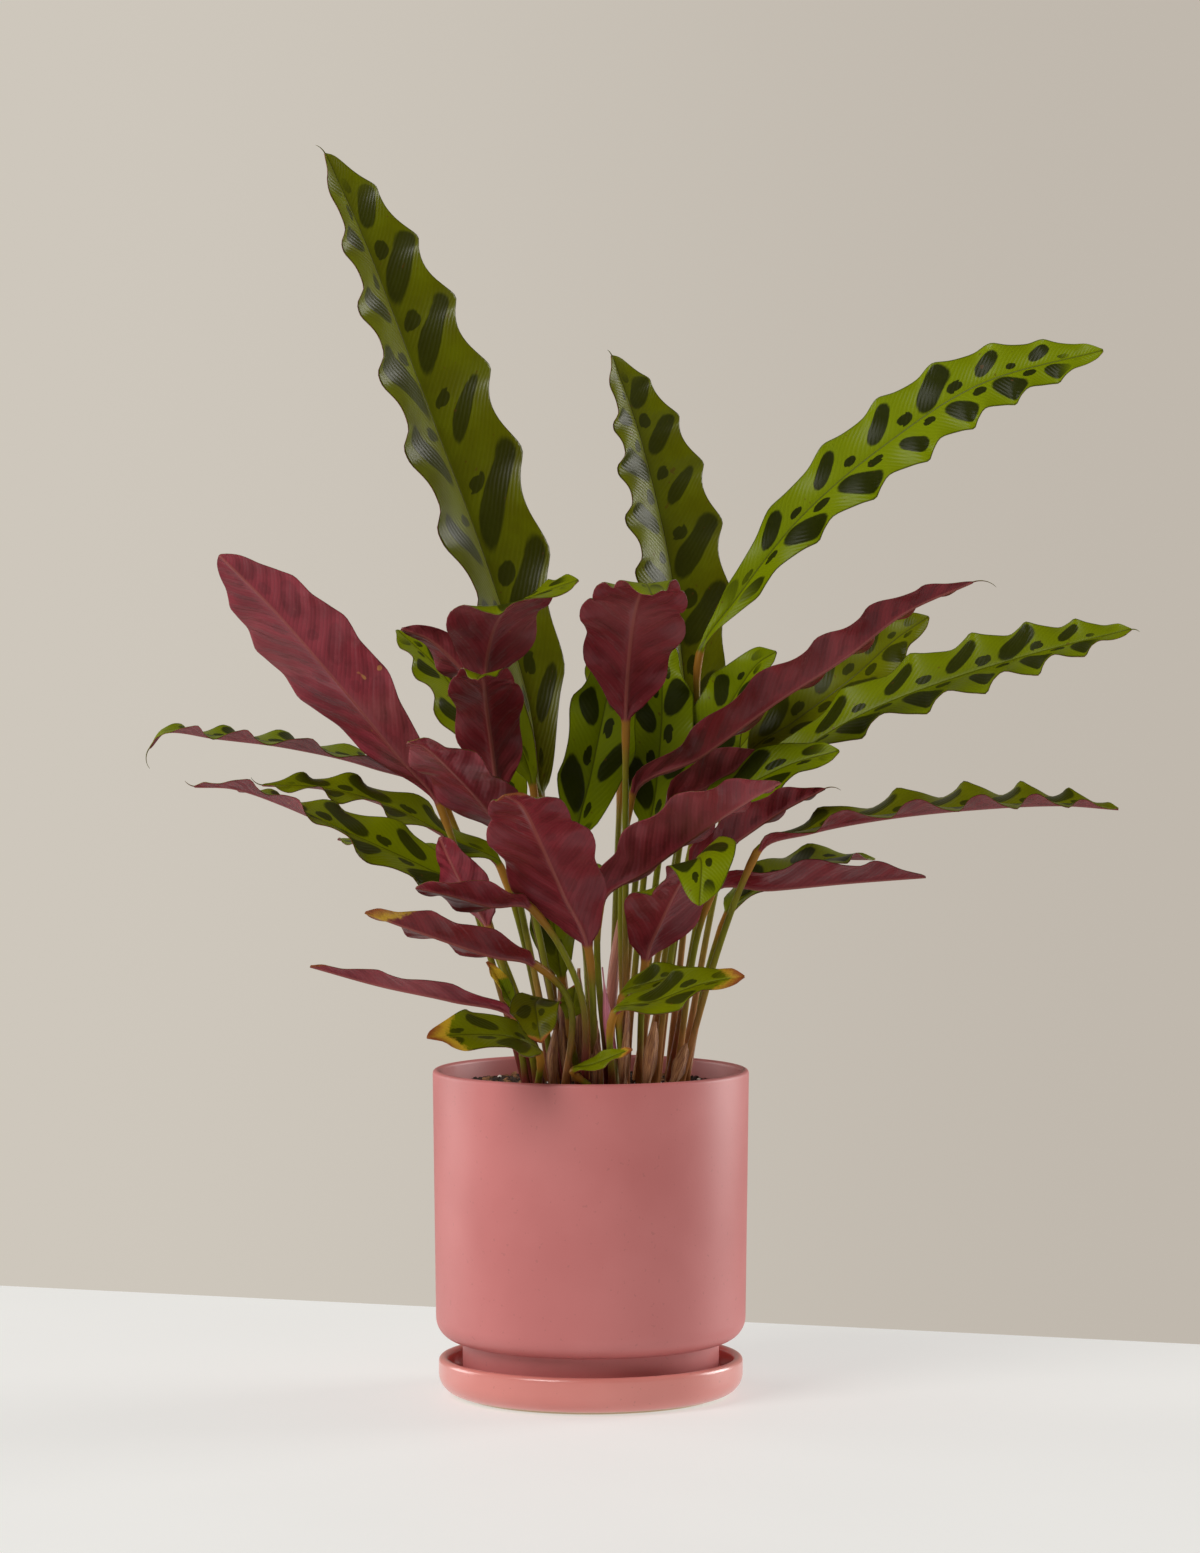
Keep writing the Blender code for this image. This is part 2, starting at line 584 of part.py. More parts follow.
def build_leaf(entry, across, colour, roughness, parent):
    waves = wave_count(stem_and_blade(entry)[3], entry.wave)
    shares = row_shares(waves, ROWS_PER_WAVE)
    stem_frames, knee, frames = leaf_frames(entry, shares)
    rings = []
    for share, place, side, normal in stem_frames:
        radius = STEM_RADIUS if share < knee else KNEE_RADIUS
        rings.append(circle_ring(place, side, normal, radius, across))
    rings.append(circle_ring(*frames[0], KNEE_RADIUS, across))
    for share, frame in zip(shares[1:], frames[1:]):
        rings.append(blade_ring(entry, share, waves, frame, across))
    points, faces = loft(rings)
    return add_solid(entry.name, points, faces, colour, roughness, parent)


def build_roll(entry, parent):
    """A leaf that is still rolled: a slim spindle on its stem."""
    foot = np.array([*entry.root, 0]) * MM
    low = foot + (0, 0, SOIL_TOP - HOLE_DEPTH + GAP)
    out = foot + (0, 0, SOIL_TOP + 2 * SOIL_CROWN)
    curve = smooth_path([low, out, *(np.array([*entry.way, entry.tip]) * MM)])[SPAN_STEPS:]
    shares = np.linspace(0, 1, 9)
    places, ways = spaced(curve, shares)
    side = np.array([1.0, 0, 0])
    rings = [circle_ring(low, side, np.array([0, -1.0, 0]), STEM_RADIUS, 2)]
    for share, place, way in zip(shares, places, ways):
        way = np.array([0, 0, 1.0]) if share == 0 else way
        across = unit(side - way * side.dot(way))
        swell = STEM_RADIUS + (entry.radius * MM - STEM_RADIUS) * smoothstep(3 * share)
        radius = max(swell * (1 - smoothstep(2 * share - 1)), TIP_HALF_WIDTH)
        rings.append(circle_ring(place, across, np.cross(across, way), radius, 2))
    points, faces = loft(rings)
    return add_solid(entry.name, points, faces, entry.colour, 0.5, parent)


def main():
    clear_scene()
    plant = bpy.data.objects.new("plant", None)
    bpy.context.scene.collection.objects.link(plant)
    build_saucer(plant)
    build_pot(plant)
    stems = []
    for entry in LEAVES + SHEATHS + ROLLS:
        stems.append(((entry.root[0] * MM, entry.root[1] * MM), STEM_RADIUS))
    build_soil(plant, stems)
    for entry in LEAVES:
        build_leaf(entry, 4 if entry.half > 23 else 2, LEAF_GREEN, 0.4, plant)
    for entry in SHEATHS:
        build_leaf(entry, 2, SHEATH_TAN, 0.8, plant)
    for entry in ROLLS:
        build_roll(entry, plant)


main()
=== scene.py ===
# %% [markdown]
# # A rattlesnake plant in its pot
# The plant is a crown of about fifty leaves. Each leaf is a slim stem, a thickened
# knee, and a lance-shaped blade with waved edges, dark spots above and a wine-red
# underside. It grows in a round matte pot that stands on a shinier saucer.
# The plain solids are loaded first, and the pot and the saucer take their sizes
# from them. Nothing that is made here may change the size of the plant.

# %% Load the plain solids
import json
import math
from collections import namedtuple

import bmesh
import bpy
import numpy as np
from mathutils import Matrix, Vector

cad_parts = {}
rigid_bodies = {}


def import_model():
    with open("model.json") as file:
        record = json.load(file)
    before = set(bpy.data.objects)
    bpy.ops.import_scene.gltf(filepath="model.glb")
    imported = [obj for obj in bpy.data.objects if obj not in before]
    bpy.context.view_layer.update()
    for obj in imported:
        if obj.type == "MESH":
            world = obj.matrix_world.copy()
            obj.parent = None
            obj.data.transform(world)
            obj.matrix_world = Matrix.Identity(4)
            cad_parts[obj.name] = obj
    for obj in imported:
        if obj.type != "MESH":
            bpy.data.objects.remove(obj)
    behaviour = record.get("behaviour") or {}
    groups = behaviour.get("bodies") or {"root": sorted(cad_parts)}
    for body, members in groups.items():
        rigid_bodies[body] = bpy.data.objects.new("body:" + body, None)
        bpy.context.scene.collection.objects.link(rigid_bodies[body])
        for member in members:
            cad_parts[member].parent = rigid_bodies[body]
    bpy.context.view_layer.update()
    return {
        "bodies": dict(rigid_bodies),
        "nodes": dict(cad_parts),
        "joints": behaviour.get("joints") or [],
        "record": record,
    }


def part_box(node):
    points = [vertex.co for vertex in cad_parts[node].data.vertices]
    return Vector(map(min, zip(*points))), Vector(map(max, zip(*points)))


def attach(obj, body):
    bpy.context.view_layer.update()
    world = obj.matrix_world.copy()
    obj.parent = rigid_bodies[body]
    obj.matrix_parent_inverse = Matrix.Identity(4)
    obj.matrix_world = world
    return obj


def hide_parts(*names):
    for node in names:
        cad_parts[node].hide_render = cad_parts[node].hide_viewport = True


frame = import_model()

MM = 0.001
SAME_POINT = 0.00001


# %% [markdown]
# ## Camera, table and light
# The plant stands on a pale table in front of a warm grey wall. The camera is far
# away with a long lens, a little above the rim of the pot, which keeps the leaves
# in proportion. One wide soft light stands high at the left front, as a window
# would, and two weaker ones stand behind at the sides, which edge the pot with a
# pale sheen. The room's own light fills the shadows.

# %% Camera and table


def show(name, data):
    """A new object with this data, in the scene."""
    item = bpy.data.objects.new(name, data)
    bpy.context.scene.collection.objects.link(item)
    return item


camera = show("camera", bpy.data.cameras.new("camera"))
camera.location = (0.0048, -2.6, 0.425)
camera.rotation_euler = (math.radians(87.753), 0, 0)
camera.data.sensor_width = 36
camera.data.lens = 115.8
camera.data.clip_end = 50
bpy.context.scene.camera = camera
bpy.context.scene.view_settings.view_transform = "Standard"

TABLE_FRONT = [(-4, -5, 0), (4, -5, 0)]
TABLE_BACK = [(3.33, -0.83, 0), (-3.36, 1.40, 0)]
table_mesh = bpy.data.meshes.new("table")
table_mesh.from_pydata(TABLE_FRONT + TABLE_BACK, [], [(0, 1, 2, 3)])
table = show("table", table_mesh)

PLANT_MIDDLE = Vector((0, 0, 0.35))


def soft_light(name, place, size, power, colour):
    """A square area light that faces the middle of the plant."""
    lamp = bpy.data.lights.new(name, "AREA")
    lamp.shape = "SQUARE"
    lamp.size = size
    lamp.energy = power
    lamp.color = colour
    light = show(name, lamp)
    light.location = place
    light.rotation_euler = (Vector(place) - PLANT_MIDDLE).to_track_quat("Z", "Y").to_euler()


soft_light("window_light", (-1.8, -2.0, 2.2), 1.5, 62, (1.0, 0.985, 0.96))
soft_light("left_edge_light", (-2.0, 0.9, 0.6), 1.1, 18, (1.0, 0.98, 0.96))
soft_light("right_edge_light", (2.0, 0.8, 0.6), 1.1, 34, (1.0, 0.98, 0.96))
print("camera lens:", camera.data.lens)

# %% [markdown]
# ## A small language for nodes
# A finish in Blender is a tree of nodes, and so is a shape made with Geometry Nodes.
# To keep them readable, one class wraps a socket, so that a sum such as 1 - mask
# adds the Math node by itself, and another class adds any other node.

# %% Sums on sockets


class Value:
    """A socket of a node tree that can be used in Python sums."""

    def __init__(self, tree, socket):
        self.tree = tree
        self.socket = socket

    def result(self, operation, *items):
        """What one Math node makes of the items."""
        node = self.tree.nodes.new("ShaderNodeMath")
        node.operation = operation
        for slot, item in zip(node.inputs, items):
            plug(self.tree, slot, item)
        return Value(self.tree, node.outputs[0])

    def math(self, operation, *others):
        return self.result(operation, self, *others)

    def __add__(self, other):
        return self.result("ADD", self, other)

    def __radd__(self, other):
        return self.result("ADD", other, self)

    def __sub__(self, other):
        return self.result("SUBTRACT", self, other)

    def __rsub__(self, other):
        return self.result("SUBTRACT", other, self)

    def __mul__(self, other):
        return self.result("MULTIPLY", self, other)

    def __rmul__(self, other):
        return self.result("MULTIPLY", other, self)

    def __truediv__(self, other):
        return self.result("DIVIDE", self, other)

    def __rtruediv__(self, other):
        return self.result("DIVIDE", other, self)

    def __pow__(self, other):
        return self.result("POWER", self, other)

    def band(self, low, high, start=0.0, end=1.0):
        """A smooth change from start to end while the value goes from low to high."""
        node = self.tree.nodes.new("ShaderNodeMapRange")
        node.interpolation_type = "SMOOTHSTEP"
        for slot, item in zip(node.inputs, (self, low, high, start, end)):
            plug(self.tree, slot, item)
        return Value(self.tree, node.outputs[0])


def plug(tree, slot, item):
    """Links a value or socket to a slot, or sets the slot's own number."""
    if isinstance(item, Value):
        tree.links.new(item.socket, slot)
    elif isinstance(item, bpy.types.NodeSocket):
        tree.links.new(item, slot)
    elif slot.type == "RGBA" and len(item) == 3:
        slot.default_value = (*item, 1.0)
    else:
        slot.default_value = item


# %% Trees and finishes


class Nodes:
    """A node tree, with one method for any node and shorthands for a few."""

    def __init__(self, tree):
        self.tree = tree

    def node(self, kind, settings=None, inputs=None):
        """Any node: its settings are set first, then its sockets."""
        node = self.tree.nodes.new(kind if "Node" in kind else "ShaderNode" + kind)
        for key, value in (settings or {}).items():
            setattr(node, key, value)
        for key, value in (inputs or {}).items():
            plug(self.tree, node.inputs[key], value)
        return node

    def value(self, kind, settings=None, inputs=None, output=0):
        return Value(self.tree, self.node(kind, settings, inputs).outputs[output])

    def blend(self, factor, start, end):
        """A colour between start and end."""
        settings = {"data_type": "RGBA", "clamp_factor": True}
        return self.value("Mix", settings, {0: factor, 6: start, 7: end}, 2)

    def layers(self, colour, *coats):
        """A colour under further ones, each as strong as its mask."""
        for mask, tone in coats:
            colour = self.blend(mask, colour, linear(*tone))
        return colour

    def join(self, x, y, z):
        return self.value("CombineXYZ", None, {0: x, 1: y, 2: z})

    def parts(self, vector):
        """The three numbers of a vector."""
        return [Value(self.tree, socket) for socket in self.node("SeparateXYZ", None, {0: vector}).outputs]


class Finish(Nodes):
    """A material with its Principled shader."""

    def __init__(self, name, fixed):
        self.material = bpy.data.materials.new(name)
        self.material.use_nodes = True
        super().__init__(self.material.node_tree)
        self.shader = self.tree.nodes["Principled BSDF"]
        self.send(**fixed)

    def noise(self, where, scale, detail=2.0, roughness=0.5):
        inputs = {"Vector": where, "Scale": scale, "Detail": detail, "Roughness": roughness}
        return self.value("TexNoise", None, inputs)

    def attribute(self, name):
        """The three numbers of one of the piece's own attributes."""
        settings = {"attribute_type": "GEOMETRY", "attribute_name": name}
        return self.parts(self.node("Attribute", settings).outputs["Vector"])

    def place(self):
        return self.value("TexCoord", output="Object")

    def relief(self, height, distance):
        """Bumps of the given height, in metres when height runs from 0 to 1."""
        self.send(Normal=self.value("Bump", None, {"Distance": distance, "Height": height}))

    def send(self, **looks):
        """Links or sets sockets of the shader, such as Base_Color."""
        for socket, value in looks.items():
            plug(self.tree, self.shader.inputs[socket.replace("_", " ")], value)


def linear(*screen):
    """A colour given as it is seen on a screen, from 0 to 255, for a shader."""
    return tuple(c / 255 / 12.92 if c <= 10 else ((c / 255 + 0.055) / 1.055) ** 2.4 for c in screen)


print("finishes are ready to be made")

# %% [markdown]
# ## Table and room
# The table is an off-white board with a faint unevenness, which glows a little so
# that shadows on it stay light. The room is a world colour: the camera sees the warm
# grey wall, a little lighter at the left. The plant gets most of its fill from the
# wall behind it, and the room in front is dim, so that the leaves keep deep colours.

# %% Table finish and room colour
board = Finish("table_finish", {"Roughness": 0.6, "Emission Strength": 0.56})
mottle = board.noise(board.place(), 6.0, 3.0)
board.send(Base_Color=board.blend(mottle, linear(172, 172, 170), linear(177, 177, 175)))
board.send(Emission_Color=board.blend(mottle, linear(235, 235, 233), linear(237, 237, 235)))
table.data.materials.append(board.material)

WALL_LEFT = linear(206, 199, 188)
WALL_RIGHT = linear(192, 184, 173)
WALL_SHARE = 0.5
FRONT_SHARE = 0.34

world = bpy.data.worlds.new("room")
world.use_nodes = True
bpy.context.scene.world = world
room = Nodes(world.node_tree)
across, back, _ = room.parts(room.value("TexCoord", output="Generated"))
share = back.band(0.0, 0.9, FRONT_SHARE, WALL_SHARE)
seen = room.value("LightPath", output="Is Camera Ray")
background = room.tree.nodes["Background"]
plug(room.tree, background.inputs["Color"], room.blend(across.band(-0.12, 0.12), WALL_LEFT, WALL_RIGHT))
plug(room.tree, background.inputs["Strength"], seen * (1 - share) + share)
print("light from the wall and from the front:", WALL_SHARE, FRONT_SHARE)

# %% [markdown]
# ## Pot and saucer
# Both are thrown pieces, so each is one outline turned round the upright axis. The
# outline is a curve, and a Geometry Nodes tree sweeps it round a circle. The sizes
# come from the plain solids, so the turned pieces stand exactly where they do. A
# Screw modifier would also do, but the tree keeps the number of steps as an input.

# %% The turning tree


class Recipe(Nodes):
    """A Geometry Nodes tree with named inputs and one result."""

    def __init__(self, name, inputs, result):
        super().__init__(bpy.data.node_groups.new(name, "GeometryNodeTree"))
        face = self.tree.interface
        for title, kind in inputs.items():
            face.new_socket(title, in_out="INPUT", socket_type="NodeSocket" + kind)
        face.new_socket(result, in_out="OUTPUT", socket_type="NodeSocketGeometry")
        self.given = self.node("NodeGroupInput").outputs

    def end(self, geometry):
        """Makes instances real, gives the shape its finish and hands it over."""
        real = self.node("GeometryNodeRealizeInstances", None, {"Geometry": geometry})
        inputs = {"Geometry": real.outputs["Geometry"], "Material": self.given["Finish"]}
        dressed = self.node("GeometryNodeSetMaterial", None, inputs)
        self.node("NodeGroupOutput", None, {0: dressed.outputs["Geometry"]})
        return self.tree


def turning_tree():
    """A tree that sweeps its own curve round the upright axis."""
    inputs = {"Outline": "Geometry", "Middle radius": "Float", "Steps": "Int", "Finish": "Material"}
    recipe = Recipe("turn an outline", inputs, "Turned piece")
    given = recipe.given
    circle = recipe.node("GeometryNodeCurvePrimitiveCircle", None,
                         {"Radius": given["Middle radius"], "Resolution": given["Steps"]})
    sweep = recipe.node("GeometryNodeCurveToMesh", None,
                        {"Curve": circle.outputs["Curve"], "Profile Curve": given["Outline"]})
    merge = recipe.node("GeometryNodeMergeByDistance", None,
                        {"Geometry": sweep.outputs["Mesh"], "Distance": SAME_POINT})
    return recipe.end(merge.outputs["Geometry"])


def grow(item, tree, settings, name):
    """Runs a tree on an object and keeps the result as a plain mesh object."""
    modifier = item.modifiers.new(name, "NODES")
    modifier.node_group = tree
    inputs = (socket for socket in tree.interface.items_tree if socket.in_out == "INPUT")
    identifiers = {socket.name: socket.identifier for socket in inputs}
    for key, value in settings.items():
        modifier[identifiers[key]] = value
    bpy.context.view_layer.update()
    evaluated = item.evaluated_get(bpy.context.evaluated_depsgraph_get())
    mesh = bpy.data.meshes.new_from_object(evaluated)
    mesh.name = name
    item.modifiers.remove(modifier)
    return show(name, mesh)


def tidy_faces(piece, angle=40):
    """Turns the faces outwards and shades the piece smooth between its edges."""
    work = bmesh.new()
    work.from_mesh(piece.data)
    bmesh.ops.remove_doubles(work, verts=work.verts, dist=SAME_POINT)
    bmesh.ops.recalc_face_normals(work, faces=work.faces)
    work.to_mesh(piece.data)
    work.free()
    piece.data.shade_smooth()
    piece.data.set_sharp_from_angle(angle=math.radians(angle))


def arc(centre_r, centre_z, radius, start, end, steps):
    """Points of a round stretch of an outline, angles in degrees from +R."""
    angles = np.radians(np.linspace(start, end, steps + 1))
    return [(centre_r + radius * math.cos(a), centre_z + radius * math.sin(a)) for a in angles]


TURN = turning_tree()
TURN_STEPS = 192
TURN_RADIUS = 0.05


def turn(name, outline, closed, finish):
    """A piece turned from (radius, height) points."""
    curve = bpy.data.curves.new(name + "_outline", "CURVE")
    curve.dimensions = "3D"
    line = curve.splines.new("POLY")
    line.points.add(len(outline) - 1)
    line.use_cyclic_u = closed
    for point, (radius, height) in zip(line.points, outline):
        point.co = (radius - TURN_RADIUS, -height, 0, 1)
    guide = show(name + "_outline", curve)
    settings = {"Middle radius": TURN_RADIUS, "Steps": TURN_STEPS, "Finish": finish}
    piece = grow(guide, TURN, settings, name)
    bpy.data.objects.remove(guide, do_unlink=True)
    tidy_faces(piece)
    return piece


print("turning tree nodes:", len(TURN.nodes))

# %% [markdown]
# ### Glazes
# The pot has a matte dusty rose glaze with a fine grain and slow changes of tone.
# The saucer has the same clay under a shinier coral glaze, and its foot is wiped
# bare where it stood in the kiln. Each is one finish on Object coordinates.

# %% Pot and saucer finishes
FOOT_LINE = 0.0016
FOOT_FADE = 0.0004


def glaze(name, dark, light, roughness, grain_depth, coat):
    """A fired glaze: slow tones, fine grain, and bare clay at the foot."""
    finish = Finish(name, {"Coat Roughness": 0.18})
    where = finish.place()
    tone = finish.noise(where, 14.0, 3.0, 0.55)
    grain = finish.noise(where, 900.0, 2.0, 0.6)
    specks = finish.noise(where, 420.0, 1.0).band(0.70, 0.76)
    bare = finish.parts(where)[2].band(FOOT_LINE, FOOT_LINE + FOOT_FADE, 1.0, 0.0)
    colour = finish.layers(finish.blend(tone.band(0.3, 0.7), dark, light),
                           (specks * 0.25, (150, 92, 86)), (bare, (214, 190, 160)))
    finish.send(Base_Color=colour, Roughness=(grain - 0.5) * 0.10 + roughness + bare * 0.3)
    if coat:
        finish.send(Coat_Weight=(1 - bare) * coat)
    finish.relief(grain * 0.6 + tone, grain_depth)
    return finish.material


pot_glaze = glaze("pot_glaze_finish", linear(194, 111, 110), linear(202, 120, 119), 0.46, 0.00005, 0.0)
saucer_glaze = glaze("saucer_glaze_finish", linear(214, 127, 119), linear(221, 137, 129), 0.30, 0.00003, 0.5)
print("glazes:", pot_glaze.name, saucer_glaze.name)

# %% Pot
pot_low, pot_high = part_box("pot")
POT_RADIUS = pot_high.x
POT_TOP = pot_high.z
POT_FOOT = pot_low.z
POT_UNDERSIDE = 0.029
POT_BASE_RADIUS = POT_RADIUS - 0.0016
POT_CORNER = 0.012
POT_WALL = 0.0038
FOOT_RADIUS = 0.067
FOOT_FILLET = 0.0012
FOOT_ROUND = 0.002
DRAIN_RADIUS = 0.006

inside_foot = FOOT_RADIUS - POT_WALL
floor_height = POT_FOOT + POT_WALL
ledge_height = POT_UNDERSIDE + POT_WALL
inside_base = POT_BASE_RADIUS - POT_WALL
inside_corner = POT_CORNER / 2
rim = POT_WALL / 2
outline = arc(POT_RADIUS - rim, POT_TOP - rim, rim, 180, 0, 10)
outline += arc(POT_BASE_RADIUS - POT_CORNER, POT_UNDERSIDE + POT_CORNER, POT_CORNER, 0, -90, 14)
outline += arc(FOOT_RADIUS + FOOT_FILLET, POT_UNDERSIDE - FOOT_FILLET, FOOT_FILLET, 90, 180, 4)
outline += arc(FOOT_RADIUS - FOOT_ROUND, POT_FOOT + FOOT_ROUND, FOOT_ROUND, 0, -90, 6)
outline += [(DRAIN_RADIUS, POT_FOOT), (DRAIN_RADIUS, floor_height), (inside_foot, floor_height)]
outline += [(inside_foot, ledge_height)]
outline += arc(inside_base - inside_corner, ledge_height + inside_corner, inside_corner, -90, 0, 6)
pot = turn("planter", outline, True, pot_glaze)
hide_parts("pot")
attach(pot, "root")
print("pot faces:", len(pot.data.polygons))

# %% Saucer
_, saucer_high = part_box("saucer")
SAUCER_RADIUS = saucer_high.x
SAUCER_TOP = saucer_high.z
SAUCER_FLOOR = 0.0045
SAUCER_WALL = 0.005
SAUCER_BASE_RADIUS = 0.0675
SAUCER_FOOT_HEIGHT = 0.0012
SAUCER_BEVEL = 0.0004
SAUCER_STEP = 0.0015

bowl = SAUCER_RADIUS - SAUCER_BASE_RADIUS - SAUCER_STEP
lip = SAUCER_WALL / 2
well = 0.006
outline = [(0, 0), (SAUCER_BASE_RADIUS - SAUCER_BEVEL, 0), (SAUCER_BASE_RADIUS, SAUCER_BEVEL)]
outline += [(SAUCER_BASE_RADIUS, SAUCER_FOOT_HEIGHT)]
outline += arc(SAUCER_RADIUS - bowl, SAUCER_FOOT_HEIGHT + bowl, bowl, -90, 0, 16)
outline += arc(SAUCER_RADIUS - lip, SAUCER_TOP - lip, lip, 0, 180, 12)
outline += arc(SAUCER_RADIUS - SAUCER_WALL - well, SAUCER_FLOOR + well, well, 0, -90, 8)
outline += [(0, SAUCER_FLOOR)]
saucer = turn("dish", outline, False, saucer_glaze)
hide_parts("saucer")
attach(saucer, "root")
print("saucer faces:", len(saucer.data.polygons))

# %% [markdown]
# ## Soil
# Potting soil is a dark lumpy ground with crumbs, bark chips and white perlite on
# it. The ground is one solid that fills the pot, with a fine uneven top. The grains
# are scattered by one Geometry Nodes tree, which is run four times: for crumbs, for
# bark, for loose perlite and for a heap of it. A fixed seed keeps them in place.

# %% Soil ground
SOIL_TOP = 0.1595
SOIL_CROWN = 0.003
SOIL_RELIEF = 0.0009
SOIL_CORNER = 0.006
SOIL_SPREAD = 0.0015
SOIL_SIDES = 200
SOIL_RINGS = 70
GAP = 0.0003


def soil_height(x, y):
    """Height of the soil: a low crown with lumps of several sizes."""
    radius = np.hypot(x, y) / POT_RADIUS
    lumps = np.sin(210 * x + 1.3) * np.sin(260 * y + 0.4) + 0.6 * np.sin(330 * x - 290 * y)
    small = 0.5 * np.sin(900 * x + 2.1 * np.sin(700 * y)) * np.sin(840 * y + 1.7 * np.sin(760 * x))
    return SOIL_TOP + SOIL_CROWN * (1 - radius ** 2) + SOIL_RELIEF * (lumps + small)


def soil_solid():
    """The ground as a closed solid: rings from the middle of the floor to the top."""
    edge = POT_BASE_RADIUS + SOIL_SPREAD - POT_WALL - GAP
    ledge = ledge_height + GAP
    rings = [(inside_foot - GAP, floor_height + GAP), (inside_foot - GAP, ledge)]
    rings += [(inside_base - SOIL_CORNER, ledge), (inside_base - GAP, ledge_height + SOIL_CORNER)]
    rings += [(edge * share, None) for share in np.linspace(1, 0.02, SOIL_RINGS)]
    sides = SOIL_SIDES
    turns = 2 * np.pi * np.arange(sides) / sides
    points = []
    for radius, height in rings:
        x, y = radius * np.cos(turns), radius * np.sin(turns)
        z = soil_height(x, y) if height is None else np.full(sides, height)
        points.append(np.stack([x, y, z], axis=1))
    points = np.concatenate(points)
    after = (np.arange(sides) + 1) % sides
    faces = []
    for ring in range(len(rings) - 1):
        low, high = ring * sides, (ring + 1) * sides
        faces += [(low + i, low + j, high + j, high + i) for i, j in enumerate(after)]
    faces.append(list(range(sides))[::-1])
    faces.append([(len(rings) - 1) * sides + i for i in range(sides)])
    return points, faces


def piece_from(name, points, faces, material):
    """A named object with its finish, from points and faces."""
    mesh = bpy.data.meshes.new(name)
    mesh.from_pydata(points.tolist(), [], faces)
    mesh.materials.append(material)
    return show(name, mesh)


def earth(name, dark, light, scale, depth, roughness=0.95):
    """A finish for earth, bark or perlite: broken tones and a rough relief."""
    finish = Finish(name, {"Roughness": roughness})
    where = finish.place()
    coarse = finish.noise(where, scale, 4.0, 0.65)
    fine = finish.noise(where, scale * 5, 3.0, 0.6)
    finish.send(Base_Color=finish.blend((coarse * 0.7 + fine * 0.3).band(0.35, 0.65), dark, light))
    finish.relief(coarse + fine * 0.5, depth)
    return finish.material


soil_finish = earth("soil_finish", linear(28, 20, 17), linear(72, 54, 44), 260.0, 0.0006)
bark_finish = earth("bark_finish", linear(70, 44, 28), linear(168, 122, 82), 330.0, 0.0004)
perlite_finish = earth("perlite_finish", linear(214, 208, 196), linear(246, 243, 236), 500.0, 0.0003, 0.9)
soil = piece_from("potting_soil", *soil_solid(), soil_finish)
tidy_faces(soil, 180)
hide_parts("soil")
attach(soil, "root")
print("soil faces:", len(soil.data.polygons))

# %% The scattering tree


def scatter_tree():
    """A tree that scatters rough grains over the top of a piece, inside a circle."""
    floats = dict.fromkeys(("Lowest", "Reach", "Density", "Size", "Flatness", "Roughness"), "Float")
    inputs = {"Ground": "Geometry", **floats, "Centre": "Vector", "Seed": "Int", "Finish": "Material"}
    recipe = Recipe("scatter grains", inputs, "Grains")
    given = recipe.given
    where = recipe.node("GeometryNodeInputPosition").outputs[0]
    apart = recipe.value("VectorMath", {"operation": "DISTANCE"}, {0: where, 1: given["Centre"]}, "Value")
    on_top = recipe.parts(where)[2].math("GREATER_THAN", given["Lowest"])
    chosen = on_top * apart.math("LESS_THAN", given["Reach"])
    points = recipe.node("GeometryNodeDistributePointsOnFaces", None, {
        "Mesh": given["Ground"], "Selection": chosen, "Density": given["Density"], "Seed": given["Seed"]})

    lumps = recipe.node("TexNoise", None, {"Scale": 1.3, "Detail": 1.0})
    shift = recipe.value("VectorMath", {"operation": "SUBTRACT"},
                         {0: lumps.outputs["Color"], 1: (0.5, 0.5, 0.5)})
    bulges = recipe.value("VectorMath", {"operation": "SCALE"}, {0: shift, "Scale": given["Roughness"]})
    ball = recipe.node("GeometryNodeMeshIcoSphere", None, {"Radius": 1.0, "Subdivisions": 2})
    grain = recipe.node("GeometryNodeSetPosition", None, {"Geometry": ball.outputs["Mesh"], "Offset": bulges})

    turns = recipe.node("FunctionNodeRandomValue", {"data_type": "FLOAT_VECTOR"},
                        {"Max": (0.7, 0.7, 6.28), "Seed": given["Seed"]})
    sizes = recipe.value("FunctionNodeRandomValue", {"data_type": "FLOAT"},
                         {2: 0.4, 3: 1.25, "Seed": given["Seed"]}, 1)
    wide = sizes * given["Size"]
    place = recipe.node("GeometryNodeInstanceOnPoints", None, {
        "Points": points.outputs["Points"], "Instance": grain.outputs["Geometry"],
        "Rotation": turns.outputs[0], "Scale": recipe.join(wide, wide * 0.7, wide * given["Flatness"])})
    return recipe.end(place.outputs[0])


SCATTER = scatter_tree()


def scatter(name, finish, size, density, flatness, roughness, seed, centre=(0, 0), reach=0.0765):
    """One kind of grain on the soil, as a piece of its own."""
    settings = {"Lowest": SOIL_TOP - 0.004, "Reach": reach, "Density": density, "Size": size,
                "Flatness": flatness, "Roughness": roughness, "Seed": seed, "Finish": finish,
                "Centre": (*centre, SOIL_TOP)}
    piece = grow(soil, SCATTER, settings, name)
    tidy_faces(piece, 30)
    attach(piece, "root")
    print(name, "faces:", len(piece.data.polygons))


scatter("soil_crumbs", soil_finish, 0.0017, 65000.0, 0.75, 0.9, 3)
scatter("bark_chips", bark_finish, 0.0032, 7000.0, 0.4, 0.8, 8)
scatter("perlite_grains", perlite_finish, 0.0015, 5500.0, 0.85, 0.7, 5)
scatter("perlite_heap", perlite_finish, 0.0014, 190000.0, 0.85, 0.7, 11, (-0.027, -0.058), 0.012)

